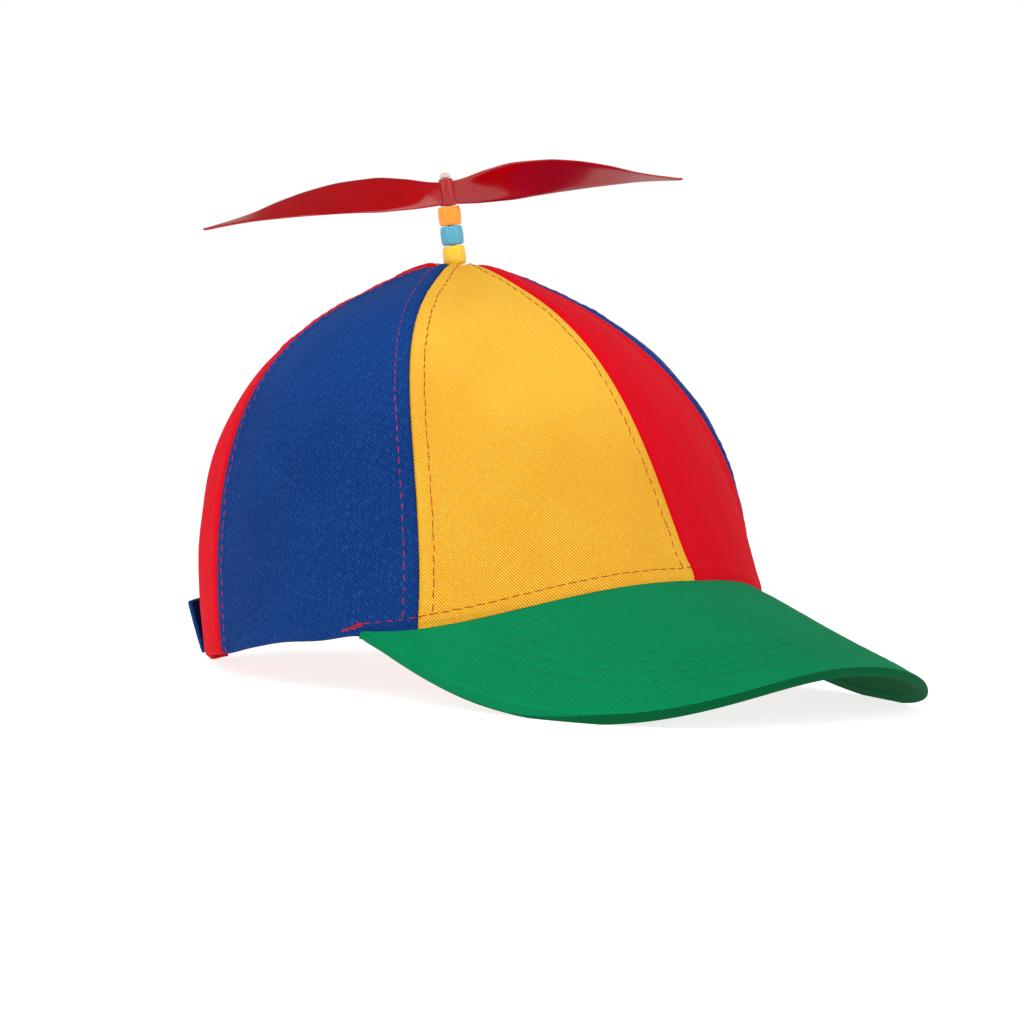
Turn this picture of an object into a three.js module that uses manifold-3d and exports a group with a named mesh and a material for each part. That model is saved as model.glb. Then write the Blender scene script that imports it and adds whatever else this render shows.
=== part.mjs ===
// Propeller cap: a six-panel cloth cap with a bill, a back strap, three beads and a spinning propeller.
// Lengths are in millimetres and angles in degrees. The bill points towards -Y and up is +Z.
// Angles round the crown start at the front and grow towards the wearer's right, which is -X.

import * as THREE from 'three';
import { mergeVertices } from 'three/addons/utils/BufferGeometryUtils.js';
import Module from 'manifold-3d';

// Crown sizes
const crownHeight = 146.6;
const crownHalfWidth = 96.6;
const crownFrontReach = 93.5;
const crownBackReach = 105.8;
const apexSetback = 25.8;
const sideRimRise = 15.1;
const clothThickness = 1.8;
const pieceGap = 0.38;
const levelFrom = 0.7;
const levelTo = 0.95;

// Low ring round the top of the crown and the dip under the beads, by distance from the middle
const topSwell = 1;
const topSwellInner = 5;
const topSwellPeak = 12;
const topSwellFrom = 16;
const topSwellTo = 36;
const topDip = 1.15;
const topDipFrom = 5;
const topDipTo = 11;

// Bill sizes
const billHalfWidth = 92.9;
const billReach = 162.8;
const billRootRise = 41.9;
const billSideDrop = 42.3;
const billArchPower = 2.27;
const billSlope = 18.5;
const billThickness = 2.5;
const billWidestReach = 30;
const billSidePower = 2.94;
const billFrontPower = 2.6;
const billCornerAngle = 72.2;
const billCornerWidth = 2;
const billCornerTaper = 0.62;
const billEdgeFlat = 0.2;
const billRootGap = 0.55;

// Back opening and strap sizes
const openingHalfAngle = 25;
const openingHeight = 50;
const strapHeight = 18.5;
const strapThickness = 1.4;
const strapMiddleRise = 7;
const strapClearance = 1;
const strapFlareTop = 3.2;
const strapFlareBottom = 0;

// Pin, bead and propeller sizes
const pinLean = 9.2;
const pinLeanToward = 136;
const pinRadius = 1.1;
const pinHoleRadius = 2.3;
const pinFlangeRadius = 4.5;
const pinFlangeThickness = 1.2;
const pinFlangeDrop = 5;
const beadDiameter = 8.3;
const beadHeight = 6.75;
const beadFaceShare = 0.8;
const beadStand = 0.15;
const boreClearance = 0.3;
const stackGap = 0.3;
const hubHeight = 10;
const hubBottomRadius = 3;
const hubTopRadius = 2.6;
const capRadius = 2;
const capHeight = 1.9;
const capSkirt = 1.2;
const propellerSpan = 181;
const bladeDepth = 13;
const bladeThickness = 1.2;
const bladeDirection = -28;

// Facet counts
const panelColumns = 8;
const archColumns = 8;
const panelRows = 16;
const topCrowding = 1.6;
const billStations = 13;
const billRows = 7;
const bladeStations = 14;
const bladeRows = 4;
const roundSides = 28;

// Shape of the crown along its meridians: how far each leans out at the rim, how steeply it meets the
// top, and the shares of the height and of the radius over which those directions are held.
const meridians = [
  { angle: 0, rimLean: -33.7, rimPull: 0.458, topFall: 8, topPull: 0.683 },
  { angle: 45, rimLean: -11.8, rimPull: 0.5, topFall: 8, topPull: 0.6 },
  { angle: 70, rimLean: 8.2, rimPull: 0.583, topFall: 8.5, topPull: 0.69 },
  { angle: 120, rimLean: 11.1, rimPull: 0.687, topFall: 16.5, topPull: 0.663 },
  { angle: 140, rimLean: 11.4, rimPull: 0.688, topFall: 15.5, topPull: 0.614 },
  { angle: 180, rimLean: 2, rimPull: 0.7, topFall: 3.5, topPull: 0.575 },
];

// Height of the rim behind the bill as a share of the side rim rise
const rimRises = [
  { angle: 82, rise: 1.13 },
  { angle: 92, rise: 1 },
  { angle: 102, rise: 0.77 },
  { angle: 112, rise: 0.52 },
  { angle: 122, rise: 0.36 },
  { angle: 134, rise: 0.2 },
  { angle: 148, rise: 0 },
  { angle: 180, rise: 0 },
];

// Seams between panels: angle at the rim, how far each bows and sways on its way up, and how far it
// has turned when it gets to the top
const seams = {
  front: { angle: 0, bow: -1, sway: 0, turn: 4 },
  frontRight: { angle: 60.3, bow: 4, sway: -3, turn: 10.1 },
  backRight: { angle: 115.2, bow: 0.4, sway: -2.5, turn: 22 },
  back: { angle: 180, bow: 0, sway: 0, turn: 0 },
  backLeft: { angle: 244.8, bow: -5.9, sway: 7.5, turn: 0 },
  frontLeft: { angle: 299.7, bow: 2, sway: 0, turn: 11 },
  frontAgain: { angle: 360, bow: -1, sway: 0, turn: 4 },
};

// Rows that round the bill's outer edge, inwards from it as shares of half the thickness
const billEdgeInsets = [1, 0.5, 0.13, 0];

// Panels in order round the crown
const panels = [
  { name: 'panel_front_right', from: 'front', to: 'frontRight', colour: 'yellow' },
  { name: 'panel_side_right', from: 'frontRight', to: 'backRight', colour: 'blue' },
  { name: 'panel_back_right', from: 'backRight', to: 'back', colour: 'red' },
  { name: 'panel_back_left', from: 'back', to: 'backLeft', colour: 'yellow' },
  { name: 'panel_side_left', from: 'backLeft', to: 'frontLeft', colour: 'blue' },
  { name: 'panel_front_left', from: 'frontLeft', to: 'frontAgain', colour: 'red' },
];

// Outer strap: where its outer face runs, from inside the left back panel to its flared free end
const underWall = -(clothThickness + strapClearance);
const overWall = strapThickness + pieceGap;
const outerStrapRun = [
  { angle: 141, standoff: overWall, flare: 1, rise: 0.2 },
  { angle: 150, standoff: overWall, flare: 0.12, rise: 0.5 },
  { angle: 160, standoff: overWall, flare: 0, rise: 0.8 },
  { angle: 184, standoff: overWall, flare: 0, rise: 1 },
  { angle: 198, standoff: underWall, flare: 0, rise: 0.8 },
  { angle: 213, standoff: underWall, flare: 0, rise: 0.6 },
];

// Inner strap: from inside the right back panel to its free end behind the outer strap
const innerStrapRun = [
  { angle: 147, standoff: underWall, flare: 0, rise: 0.6 },
  { angle: 162, standoff: underWall, flare: 0, rise: 0.8 },
  { angle: 172, standoff: 0, flare: 0, rise: 1 },
  { angle: 183, standoff: 0, flare: 0, rise: 1 },
];

// Blade sections along half the span: upper and lower edges as shares of the blade depth, and the
// forward sweep of the upper edge as a share of it too
const bladeSections = [
  { reach: 0, upper: 0.26, lower: -0.36, sweep: 0.05 },
  { reach: 0.05, upper: 0.29, lower: -0.38, sweep: 0.08 },
  { reach: 0.16, upper: 0.47, lower: -0.41, sweep: 0.25 },
  { reach: 0.28, upper: 0.59, lower: -0.41, sweep: 0.4 },
  { reach: 0.4, upper: 0.57, lower: -0.36, sweep: 0.5 },
  { reach: 0.52, upper: 0.46, lower: -0.32, sweep: 0.52 },
  { reach: 0.66, upper: 0.24, lower: -0.29, sweep: 0.44 },
  { reach: 0.8, upper: -0.05, lower: -0.28, sweep: 0.3 },
  { reach: 0.92, upper: -0.23, lower: -0.32, sweep: 0.13 },
  { reach: 1, upper: -0.32, lower: -0.36, sweep: 0.03 },
];

const finishes = {
  yellow: { color: '#fab93c', roughness: 0.85, metalness: 0 },
  blue: { color: '#1c428a', roughness: 0.85, metalness: 0 },
  red: { color: '#d61628', roughness: 0.85, metalness: 0 },
  green: { color: '#008f5c', roughness: 0.85, metalness: 0 },
  gloss_red: { color: '#aa000f', roughness: 0.2, metalness: 0 },
  bead_orange: { color: '#fda032', roughness: 0.3, metalness: 0 },
  bead_blue: { color: '#5faac3', roughness: 0.3, metalness: 0 },
  bead_yellow: { color: '#fdd23c', roughness: 0.3, metalness: 0 },
  clear: { color: '#e8dcd6', roughness: 0.25, metalness: 0 },
};

// Plain helpers

const radians = THREE.MathUtils.degToRad;

const lerp = THREE.MathUtils.lerp;

const origin = new THREE.Vector3();

const upward = new THREE.Vector3(0, 0, 1);

const apex = new THREE.Vector3(0, apexSetback, crownHeight);

// Value of a table column at a place between its rows, smooth and without overshoot
function eased(rows, key, column, at) {
  const place = THREE.MathUtils.clamp(at, rows[0][key], rows[rows.length - 1][key]);
  const slope = (i) => (rows[i + 1][column] - rows[i][column]) / (rows[i + 1][key] - rows[i][key]);
  const tangent = (i) => {
    if (i === 0 || i === rows.length - 1) {
      return 0;
    }
    const before = slope(i - 1);
    const after = slope(i);
    return before * after > 0 ? (2 * before * after) / (before + after) : 0;
  };
  const i = Math.max(0, rows.findIndex((row, n) => n > 0 && place <= row[key]) - 1);
  const width = rows[i + 1][key] - rows[i][key];
  const t = (place - rows[i][key]) / width;
  const start = rows[i][column] * (1 + 2 * t) * (1 - t) ** 2 + tangent(i) * width * t * (1 - t) ** 2;
  const end = rows[i + 1][column] * t * t * (3 - 2 * t) + tangent(i + 1) * width * t * t * (t - 1);
  return start + end;
}

// Angle away from the front, the same on both sides of the cap
function fromFront(angle) {
  return Math.abs(((angle + 180) % 360) - 180);
}

// Closed solid between two matching grids of points, held as columns of rows
function slab(outer, inner) {
  const columns = outer.length;
  const rows = outer[0].length;
  const at = (side, c, r) => (side * columns + c) * rows + r;
  const index = [];
  const quad = (a, b, c, d) => index.push(a, b, c, a, c, d);
  for (let c = 0; c < columns - 1; c += 1) {
    for (let r = 0; r < rows - 1; r += 1) {
      quad(at(0, c, r), at(0, c, r + 1), at(0, c + 1, r + 1), at(0, c + 1, r));
      quad(at(1, c, r), at(1, c + 1, r), at(1, c + 1, r + 1), at(1, c, r + 1));
    }
    quad(at(0, c, 0), at(0, c + 1, 0), at(1, c + 1, 0), at(1, c, 0));
    quad(at(0, c + 1, rows - 1), at(0, c, rows - 1), at(1, c, rows - 1), at(1, c + 1, rows - 1));
  }
  for (let r = 0; r < rows - 1; r += 1) {
    quad(at(0, 0, r), at(1, 0, r), at(1, 0, r + 1), at(0, 0, r + 1));
    quad(at(0, columns - 1, r), at(0, columns - 1, r + 1), at(1, columns - 1, r + 1), at(1, columns - 1, r));
  }
  const geometry = new THREE.BufferGeometry();
  const points = [...outer.flat(), ...inner.flat()];
  geometry.setAttribute('position', new THREE.Float32BufferAttribute(points.flatMap((p) => p.toArray()), 3));
  geometry.setIndex(index);
  return facingOut(geometry);
}

// The same solid with its faces turned outward if they point inward
function facingOut(geometry) {
  const index = geometry.index.array;
  const place = geometry.attributes.position;
  const corner = (i) => new THREE.Vector3().fromBufferAttribute(place, index[i]);
  let volume = 0;
  for (let i = 0; i < index.length; i += 3) {
    volume += corner(i).dot(corner(i + 1).cross(corner(i + 2)));
  }
  if (volume < 0) {
    geometry.setIndex(Array.from(index).reverse());
  }
  geometry.computeVertexNormals();
  return geometry;
}

// Unit normal of a surface given by a function of two shares, pointing away from a place inside
function surfaceNormal(surface, u, v, inside) {
  const step = 0.01;
  const along = surface(u + step, v).sub(surface(u - step, v));
  const across = surface(u, v + step).sub(surface(u, v - step));
  const normal = along.cross(across).normalize();
  return normal.dot(surface(u, v).sub(inside)) < 0 ? normal.negate() : normal;
}

// Bill surface

// Height of the bill's top over a place in plan
function billTop(x, y) {
  const arch = billSideDrop * (Math.abs(x) / billHalfWidth) ** billArchPower;
  const fall = (-y - crownFrontReach) * Math.tan(radians(billSlope));
  return billRootRise - arch - fall;
}

// Upright depth of the bill over a place in plan, more than its thickness where it slopes
function billDepth(x, y) {
  const step = 0.5;
  const slopeX = (billTop(x + step, y) - billTop(x - step, y)) / (2 * step);
  const slopeY = (billTop(x, y + step) - billTop(x, y - step)) / (2 * step);
  return billThickness * Math.hypot(slopeX, slopeY, 1);
}

// Crown surface

// Plan place of the rim at an angle
function rimPlan(angle) {
  const turn = radians(angle);
  const reach = Math.cos(turn) > 0 ? crownFrontReach : crownBackReach;
  return new THREE.Vector2(-crownHalfWidth * Math.sin(turn), -reach * Math.cos(turn));
}

// Height at which the crown meets the top of the bill at an angle
function billJoint(angle) {
  const plan = rimPlan(angle);
  return billTop(plan.x, plan.y);
}

// Height of the rim at an angle: on the bill in front, and by the table behind it
function rimRise(angle) {
  const away = fromFront(angle);
  if (away <= billCornerAngle) {
    return billJoint(angle);
  }
  const corner = { angle: billCornerAngle, rise: billJoint(billCornerAngle) / sideRimRise };
  return sideRimRise * eased([corner, ...rimRises], 'angle', 'rise', away);
}

// Point of the outer surface at an angle, from the rim at share 0 to the top at share 1
function crownPoint(angle, share) {
  const away = fromFront(angle);
  const plan = rimPlan(angle);
  const rise = rimRise(angle);
  const toRim = plan.clone().sub(new THREE.Vector2(0, apexSetback));
  const radius = toRim.length();
  const lean = radians(eased(meridians, 'angle', 'rimLean', away));
  const fall = radians(eased(meridians, 'angle', 'topFall', away));
  const rimHold = eased(meridians, 'angle', 'rimPull', away) * (crownHeight - rise);
  const topHold = eased(meridians, 'angle', 'topPull', away) * radius;
  const curve = new THREE.CubicBezierCurve(
    new THREE.Vector2(radius, rise),
    new THREE.Vector2(radius + rimHold * Math.sin(lean), rise + rimHold * Math.cos(lean)),
    new THREE.Vector2(topHold * Math.cos(fall), crownHeight - topHold * Math.sin(fall)),
    new THREE.Vector2(0, crownHeight),
  );
  const at = curve.getPoint(share);
  const out = toRim.divideScalar(radius).multiplyScalar(at.x);
  return new THREE.Vector3(out.x, apexSetback + out.y, at.y + topRelief(at.x));
}

// Height of the thick cloth round the top over its plain surface, at a distance from the middle
function topRelief(distance) {
  const inner = THREE.MathUtils.smoothstep(distance, topSwellInner, topSwellPeak);
  const outer = 1 - THREE.MathUtils.smoothstep(distance, topSwellFrom, topSwellTo);
  const dip = 1 - THREE.MathUtils.smoothstep(distance, topDipFrom, topDipTo);
  return topSwell * inner * outer - topDip * dip;
}

// Unit outward normal of the crown
function crownNormal(angle, share) {
  const inside = new THREE.Vector3(0, apexSetback, crownHeight / 3);
  return surfaceNormal((u, v) => crownPoint(u * 100, v), angle / 100, Math.min(share, 0.98), inside);
}

// Share along a meridian at which a test first holds, found by halving
function shareWhere(test) {
  let low = 0;
  let high = 1;
  for (let i = 0; i < 30; i += 1) {
    const middle = (low + high) / 2;
    if (test(middle)) {
      high = middle;
    } else {
      low = middle;
    }
  }
  return high;
}

// Share at which a meridian reaches a height
function shareAtHeight(angle, height) {
  return shareWhere((share) => crownPoint(angle, share).z > height);
}

// Share at which a meridian reaches the pin hole
function shareAtHole(angle) {
  return shareWhere((share) => {
    const at = crownPoint(angle, share);
    return Math.hypot(at.x, at.y - apexSetback) < pinHoleRadius;
  });
}

// Angle of a seam at a share of its way up
function seamAngle(seam, share) {
  const bow = seam.bow * 4 * share * (1 - share);
  const sway = seam.sway * 6 * share * (1 - share) * (1 - 2 * share);
  return seam.angle + bow + sway + seam.turn * share * share;
}

// Panels

// How far the wall of the crown runs down past the top of the bill
function hemDrop(angle) {
  const fade = THREE.MathUtils.smoothstep(fromFront(angle), billCornerAngle, billCornerAngle + 10);
  return billThickness * (1 - fade);
}

// Height of the edge of the back opening, and its angle, at a share of the way up one of its sides
function archAt(share, side) {
  const turn = radians(90 * share);
  return {
    angle: 180 - side * openingHalfAngle * Math.cos(turn),
    height: openingHeight * Math.sin(turn),
  };
}

// Columns of a panel: each gives the angle at any share and the height at which it starts
function panelPlan(panel) {
  const start = seams[panel.from];
  const end = seams[panel.to];
  const between = (a, b, count) => Array.from({ length: count + 1 }, (_, i) => ({
    angle: (share) => lerp(a(share), b(share), i / count),
    height: 0,
  }));
  const startEdge = (share) => seamAngle(start, share);
  const endEdge = (share) => seamAngle(end, share);
  if (panel.to === 'back' || panel.from === 'back') {
    const side = panel.to === 'back' ? 1 : -1;
    const jamb = archAt(0, side).angle;
    const plain = side > 0 ? between(startEdge, () => jamb, panelColumns) : between(() => jamb, endEdge, panelColumns);
    const arch = Array.from({ length: archColumns }, (_, i) => {
      const edge = archAt((i + 1) / archColumns, side);
      return { angle: () => edge.angle, height: edge.height };
    });
    return side > 0 ? [...plain, ...arch] : [...arch.reverse(), ...plain];
  }
  return between(startEdge, endEdge, panelColumns);
}

// One panel of the crown, a curved cloth wall drawn in from its seams by half the gap
function panelSolid(panel) {
  const plan = panelPlan(panel);
  const outer = [];
  const inner = [];
  plan.forEach((column, c) => {
    const last = plan.length - 1;
    const inward = c === 0 ? 1 : Number(c === last) * -1;
    const first = column.height > 0 ? shareAtHeight(column.angle(0), column.height) : 0;
    const top = shareAtHole(column.angle(1));
    const outerColumn = [];
    const innerColumn = [];
    for (let r = 0; r <= panelRows; r += 1) {
      const share = lerp(first, top, 1 - (1 - r / panelRows) ** topCrowding);
      const bare = column.angle(share);
      const step = crownPoint(bare + 0.5, share).distanceTo(crownPoint(bare - 0.5, share));
      const angle = bare + (inward * pieceGap) / 2 / step;
      const at = crownPoint(angle, share);
      const level = THREE.MathUtils.smoothstep(share, levelFrom, levelTo);
      const normal = crownNormal(bare, share).lerp(upward, level).normalize();
      if (r === 0) {
        normal.setZ(0).normalize();
        const rising = crownPoint(angle, share + 0.01).sub(at).normalize();
        at.addScaledVector(rising, column.height > 0 ? 0 : -hemDrop(angle));
      }
      outerColumn.push(at);
      innerColumn.push(at.clone().addScaledVector(normal, -clothThickness));
    }
    outer.push(outerColumn);
    inner.push(innerColumn);
  });
  return slab(outer, inner);
}

// Bill

// Plan place of the bill's outer edge at a share of the way from the front to the right corner
function billEdge(share) {
  const turnIn = 0.93;
  const corner = rimPlan(billCornerAngle);
  corner.multiplyScalar(1 + (pieceGap + billCornerWidth) / crownHalfWidth);
  if (share < turnIn) {
    const turn = radians(90 * (share / turnIn) ** 1.5);
    const across = billHalfWidth * Math.sin(turn) ** (2 / billSidePower);
    const forward = (billReach - billWidestReach) * Math.cos(turn) ** (2 / billFrontPower);
    return new THREE.Vector2(-across, -(billWidestReach + forward));
  }
  const turn = radians((90 * (share - turnIn)) / (1 - turnIn));
  const across = lerp(-corner.x, billHalfWidth, Math.cos(turn));
  const forward = lerp(billWidestReach, -corner.y, Math.sin(turn));
  return new THREE.Vector2(-across, -forward);
}

// Point just outside the crown's wall at an angle and height
function wallPoint(angle, height, standoff) {
  const share = height > rimRise(angle) ? shareAtHeight(angle, height) : 0;
  const at = crownPoint(angle, share);
  const drop = rimRise(angle) - height;
  if (drop > 0) {
    const rising = crownPoint(angle, 0.01).sub(at).normalize();
    at.addScaledVector(rising, -drop / rising.z);
  }
  const normal = crownNormal(angle, share).setZ(0).normalize();
  return at.addScaledVector(normal, standoff);
}

// Bill: an arched plate with a rounded outer edge, set against the front of the crown
function billSolid() {
  const top = [];
  const bottom = [];
  for (let s = -billStations; s <= billStations; s += 1) {
    const share = Math.abs(s) / billStations;
    const side = Math.sign(s) || 1;
    const edge = billEdge(share);
    edge.x *= side;
    const angle = billCornerAngle * share * side;
    const root = rimPlan(angle);
    const half = billThickness / 2;
    const taper = 1 - billCornerTaper * THREE.MathUtils.smoothstep(share, 0.8, 1);
    const joint = billTop(root.x, root.y);
    const rootDepth = billDepth(root.x, root.y) * taper;
    const length = edge.distanceTo(root);
    const topColumn = [wallPoint(angle, joint, billRootGap)];
    const bottomColumn = [wallPoint(angle, joint - rootDepth, billRootGap)];
    const spacing = (length - billRootGap - half) / (billRows + 1);
    const insets = Array.from({ length: billRows }, (_, i) => half + spacing * (billRows - i));
    insets.push(...billEdgeInsets.map((inset) => inset * half));
    insets.forEach((inset) => {
      const round = Math.sqrt(1 - Math.max(0, 1 - inset / half) ** 2);
      const plan = edge.clone().lerp(root, inset / length);
      const depth = billDepth(plan.x, plan.y) * taper;
      const spread = (depth / 2) * Math.max(round, billEdgeFlat);
      const middle = billTop(plan.x, plan.y) - depth / 2;
      topColumn.push(new THREE.Vector3(plan.x, plan.y, middle + spread));
      bottomColumn.push(new THREE.Vector3(plan.x, plan.y, middle - spread));
    });
    top.push(topColumn);
    bottom.push(bottomColumn);
  }
  return slab(top, bottom);
}

// Straps

// A strap that follows the foot of the back panels by its table
function strapSolid(run) {
  const columns = 20;
  const rows = 3;
  const start = run[0].angle;
  const end = run[run.length - 1].angle;
  const outer = [];
  const inner = [];
  for (let c = 0; c <= columns; c += 1) {
    const angle = lerp(start, end, c / columns);
    const standoff = eased(run, 'angle', 'standoff', angle);
    const flare = eased(run, 'angle', 'flare', angle);
    const rise = strapMiddleRise * eased(run, 'angle', 'rise', angle);
    const outerColumn = [];
    const innerColumn = [];
    for (let r = 0; r <= rows; r += 1) {
      const height = rise + (strapHeight * r) / rows;
      const spread = flare * lerp(strapFlareBottom, strapFlareTop, r / rows);
      outerColumn.push(wallPoint(angle, height, standoff + spread));
      innerColumn.push(wallPoint(angle, height, standoff + spread - strapThickness));
    }
    outer.push(outerColumn);
    inner.push(innerColumn);
  }
  return slab(outer, inner);
}

// Pin, beads and propeller, each made along +Z from the top of the crown

// Solid of revolution from radius and height pairs
function turned(profile) {
  const geometry = new THREE.LatheGeometry(profile.map(([r, z]) => new THREE.Vector2(r, z)), roundSides);
  geometry.rotateX(Math.PI / 2);
  return facingOut(geometry);
}

const boreRadius = pinRadius + boreClearance;
const beadPitch = beadHeight + stackGap;
const hubBase = 3 * beadPitch;
const hubTop = hubBase + hubHeight;

// Pin with a flange under the cloth and its top inside the cap
function pinSolid() {
  const foot = -pinFlangeDrop;
  const top = hubTop + stackGap + capHeight / 2 - boreClearance;
  return turned([
    [0, foot - pinFlangeThickness],
    [pinFlangeRadius, foot - pinFlangeThickness],
    [pinFlangeRadius, foot],
    [pinRadius, foot],
    [pinRadius, top],
    [0, top],
  ]);
}

// Small dome that closes the top of the pin
function pinCapSolid() {
  const base = hubTop + stackGap;
  const steps = 5;
  const dome = Array.from({ length: steps }, (_, i) => {
    const turn = radians((90 * (i + 1)) / steps);
    const radius = i === steps - 1 ? 0 : capRadius * Math.cos(turn);
    return [radius, base + (capHeight - capSkirt / 2) * Math.sin(turn) + capSkirt / 2];
  });
  return turned([
    [0, base + capHeight / 2],
    [boreRadius, base + capHeight / 2],
    [boreRadius, base],
    [capRadius, base],
    [capRadius, base + capSkirt / 2],
    ...dome,
  ]);
}

// Barrel bead with a bore, at a place in the stack
function beadSolid(place) {
  const base = place * beadPitch + stackGap;
  const radius = beadDiameter / 2;
  const steps = 8;
  const side = Array.from({ length: steps + 1 }, (_, i) => {
    const turn = lerp(-90, 90, i / steps);
    const swell = Math.cos(radians(turn)) ** 0.8;
    const across = lerp(radius * beadFaceShare, radius, swell);
    return [across, base + beadHeight * (0.5 + 0.5 * Math.sin(radians(turn)))];
  });
  return turned([
    [boreRadius, base],
    ...side,
    [boreRadius, base + beadHeight],
    [boreRadius, base],
  ]);
}

// One twisted blade along +X
function bladeSolid() {
  const length = propellerSpan / 2;
  const surface = (u, v) => {
    const reach = THREE.MathUtils.clamp(u, 0, 1);
    const upper = eased(bladeSections, 'reach', 'upper', reach) * bladeDepth;
    const lower = eased(bladeSections, 'reach', 'lower', reach) * bladeDepth;
    const sweep = eased(bladeSections, 'reach', 'sweep', reach) * bladeDepth;
    return new THREE.Vector3(u * length, lerp(sweep, -sweep, v), lerp(lower, upper, v));
  };
  const front = [];
  const back = [];
  for (let s = 0; s <= bladeStations; s += 1) {
    const u = lerp(0.01, 0.995, s / bladeStations);
    const frontColumn = [];
    const backColumn = [];
    for (let r = 0; r <= bladeRows; r += 1) {
      const v = r / bladeRows;
      const normal = surfaceNormal(surface, u, v, new THREE.Vector3(u * length, 100, 0));
      const at = surface(u, v).add(new THREE.Vector3(0, 0, hubBase + hubHeight * 0.55));
      frontColumn.push(at.clone().addScaledVector(normal, bladeThickness / 2));
      backColumn.push(at.clone().addScaledVector(normal, -bladeThickness / 2));
    }
    front.push(frontColumn);
    back.push(backColumn);
  }
  return slab(front, back);
}

const wasm = await Module();
wasm.setup();

// A three.js geometry as a closed body for joining and cutting
function body(geometry) {
  const bare = geometry.clone();
  bare.deleteAttribute('normal');
  bare.deleteAttribute('uv');
  const merged = mergeVertices(bare, 1e-3);
  return new wasm.Manifold(new wasm.Mesh({
    numProp: 3,
    vertProperties: new Float32Array(merged.attributes.position.array),
    triVerts: new Uint32Array(merged.index.array),
  }));
}

// A closed body as a three.js geometry
function asGeometry(solid) {
  const mesh = solid.getMesh();
  const geometry = new THREE.BufferGeometry();
  geometry.setAttribute('position', new THREE.Float32BufferAttribute(mesh.vertProperties, 3));
  geometry.setIndex(Array.from(mesh.triVerts));
  geometry.computeVertexNormals();
  return geometry;
}

// Propeller: a tapered hub with a bore and two blades half a turn apart
function propellerSolid() {
  const base = hubBase + stackGap;
  const hub = turned([
    [0, base],
    [hubBottomRadius, base],
    [hubTopRadius, hubTop],
    [0, hubTop],
  ]);
  const bore = turned([
    [0, base - 1],
    [boreRadius, base - 1],
    [boreRadius, hubTop + 1],
    [0, hubTop + 1],
  ]);
  const blade = bladeSolid();
  const other = blade.clone().rotateZ(Math.PI);
  const whole = body(hub).add(body(blade)).add(body(other)).subtract(body(bore));
  return asGeometry(whole).rotateZ(radians(bladeDirection));
}

// Assembly

function named(name, geometry, finish) {
  const mesh = new THREE.Mesh(geometry, new THREE.MeshStandardMaterial(finishes[finish]));
  mesh.name = name;
  mesh.material.name = finish;
  return mesh;
}

// Direction of the pin, which leans a little to one side
const pinPlan = new THREE.Vector3(-Math.sin(radians(pinLeanToward)), -Math.cos(radians(pinLeanToward)), 0);
const pinAxis = upward.clone().applyAxisAngle(pinPlan.clone().cross(upward).negate(), radians(pinLean));

// A piece of the stack moved onto the top of the crown and leant over with the pin
function onPin(geometry) {
  const lean = new THREE.Quaternion().setFromUnitVectors(upward, pinAxis);
  const foot = apex.z - topDip + beadStand;
  return geometry.applyQuaternion(lean).translate(apex.x, apex.y, foot);
}

const cap = new THREE.Group();
cap.name = 'propeller_cap';
panels.forEach((panel) => cap.add(named(panel.name, panelSolid(panel), panel.colour)));
cap.add(named('bill', billSolid(), 'green'));
cap.add(named('strap_outer', strapSolid(outerStrapRun), 'blue'));
cap.add(named('strap_inner', strapSolid(innerStrapRun), 'blue'));
cap.add(named('bead_yellow', onPin(beadSolid(0)), 'bead_yellow'));
cap.add(named('bead_blue', onPin(beadSolid(1)), 'bead_blue'));
cap.add(named('bead_orange', onPin(beadSolid(2)), 'bead_orange'));
cap.add(named('pin', onPin(pinSolid()), 'clear'));
cap.add(named('pin_cap', onPin(pinCapSolid()), 'clear'));
cap.add(named('propeller', onPin(propellerSolid()), 'gloss_red'));

// The origin is the middle of the footprint at the height of the floor
const bounds = new THREE.Box3().setFromObject(cap);
const middle = bounds.getCenter(origin.clone());
cap.children.forEach((mesh) => mesh.geometry.translate(-middle.x, -middle.y, -bounds.min.z));

export default cap;
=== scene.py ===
"""Propeller cap: the looks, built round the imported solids.

Lengths are in millimetres and angles in degrees, as on a sewing pattern, and every mesh is
made in metres at its end. The bill points towards -Y and up is +Z. Angles round the crown
start at the front and grow towards the wearer's right, which is -X.
"""

import logging
import math
from dataclasses import dataclass, field
from enum import Enum
from typing import Any, Callable, Iterable, Sequence

import bmesh
import bpy
import numpy as np
from mathutils import Matrix, Vector
from mathutils.kdtree import KDTree


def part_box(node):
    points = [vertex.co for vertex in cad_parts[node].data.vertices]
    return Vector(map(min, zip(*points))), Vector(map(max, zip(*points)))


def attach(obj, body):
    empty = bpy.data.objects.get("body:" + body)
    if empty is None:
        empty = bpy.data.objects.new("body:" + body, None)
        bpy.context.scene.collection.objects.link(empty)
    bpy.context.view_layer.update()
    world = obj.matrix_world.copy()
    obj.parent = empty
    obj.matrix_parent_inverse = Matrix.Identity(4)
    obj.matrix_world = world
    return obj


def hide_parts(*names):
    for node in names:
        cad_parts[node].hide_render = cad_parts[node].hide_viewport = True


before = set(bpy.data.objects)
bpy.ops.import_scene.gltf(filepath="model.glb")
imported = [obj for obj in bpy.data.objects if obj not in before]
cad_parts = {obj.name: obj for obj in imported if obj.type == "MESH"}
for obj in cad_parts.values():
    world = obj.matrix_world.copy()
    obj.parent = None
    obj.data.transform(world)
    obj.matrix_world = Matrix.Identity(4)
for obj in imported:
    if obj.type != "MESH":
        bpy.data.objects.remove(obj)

METRE = 0.001
LOG = logging.getLogger("propeller_cap")

Points = np.ndarray


# Plain maths

def smooth(values: Points, low: float, high: float) -> Points:
    """Returns 0 below low, 1 above high and a smooth rise between."""
    share = np.clip((values - low) / (high - low), 0.0, 1.0)
    return share * share * (3.0 - 2.0 * share)


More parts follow.
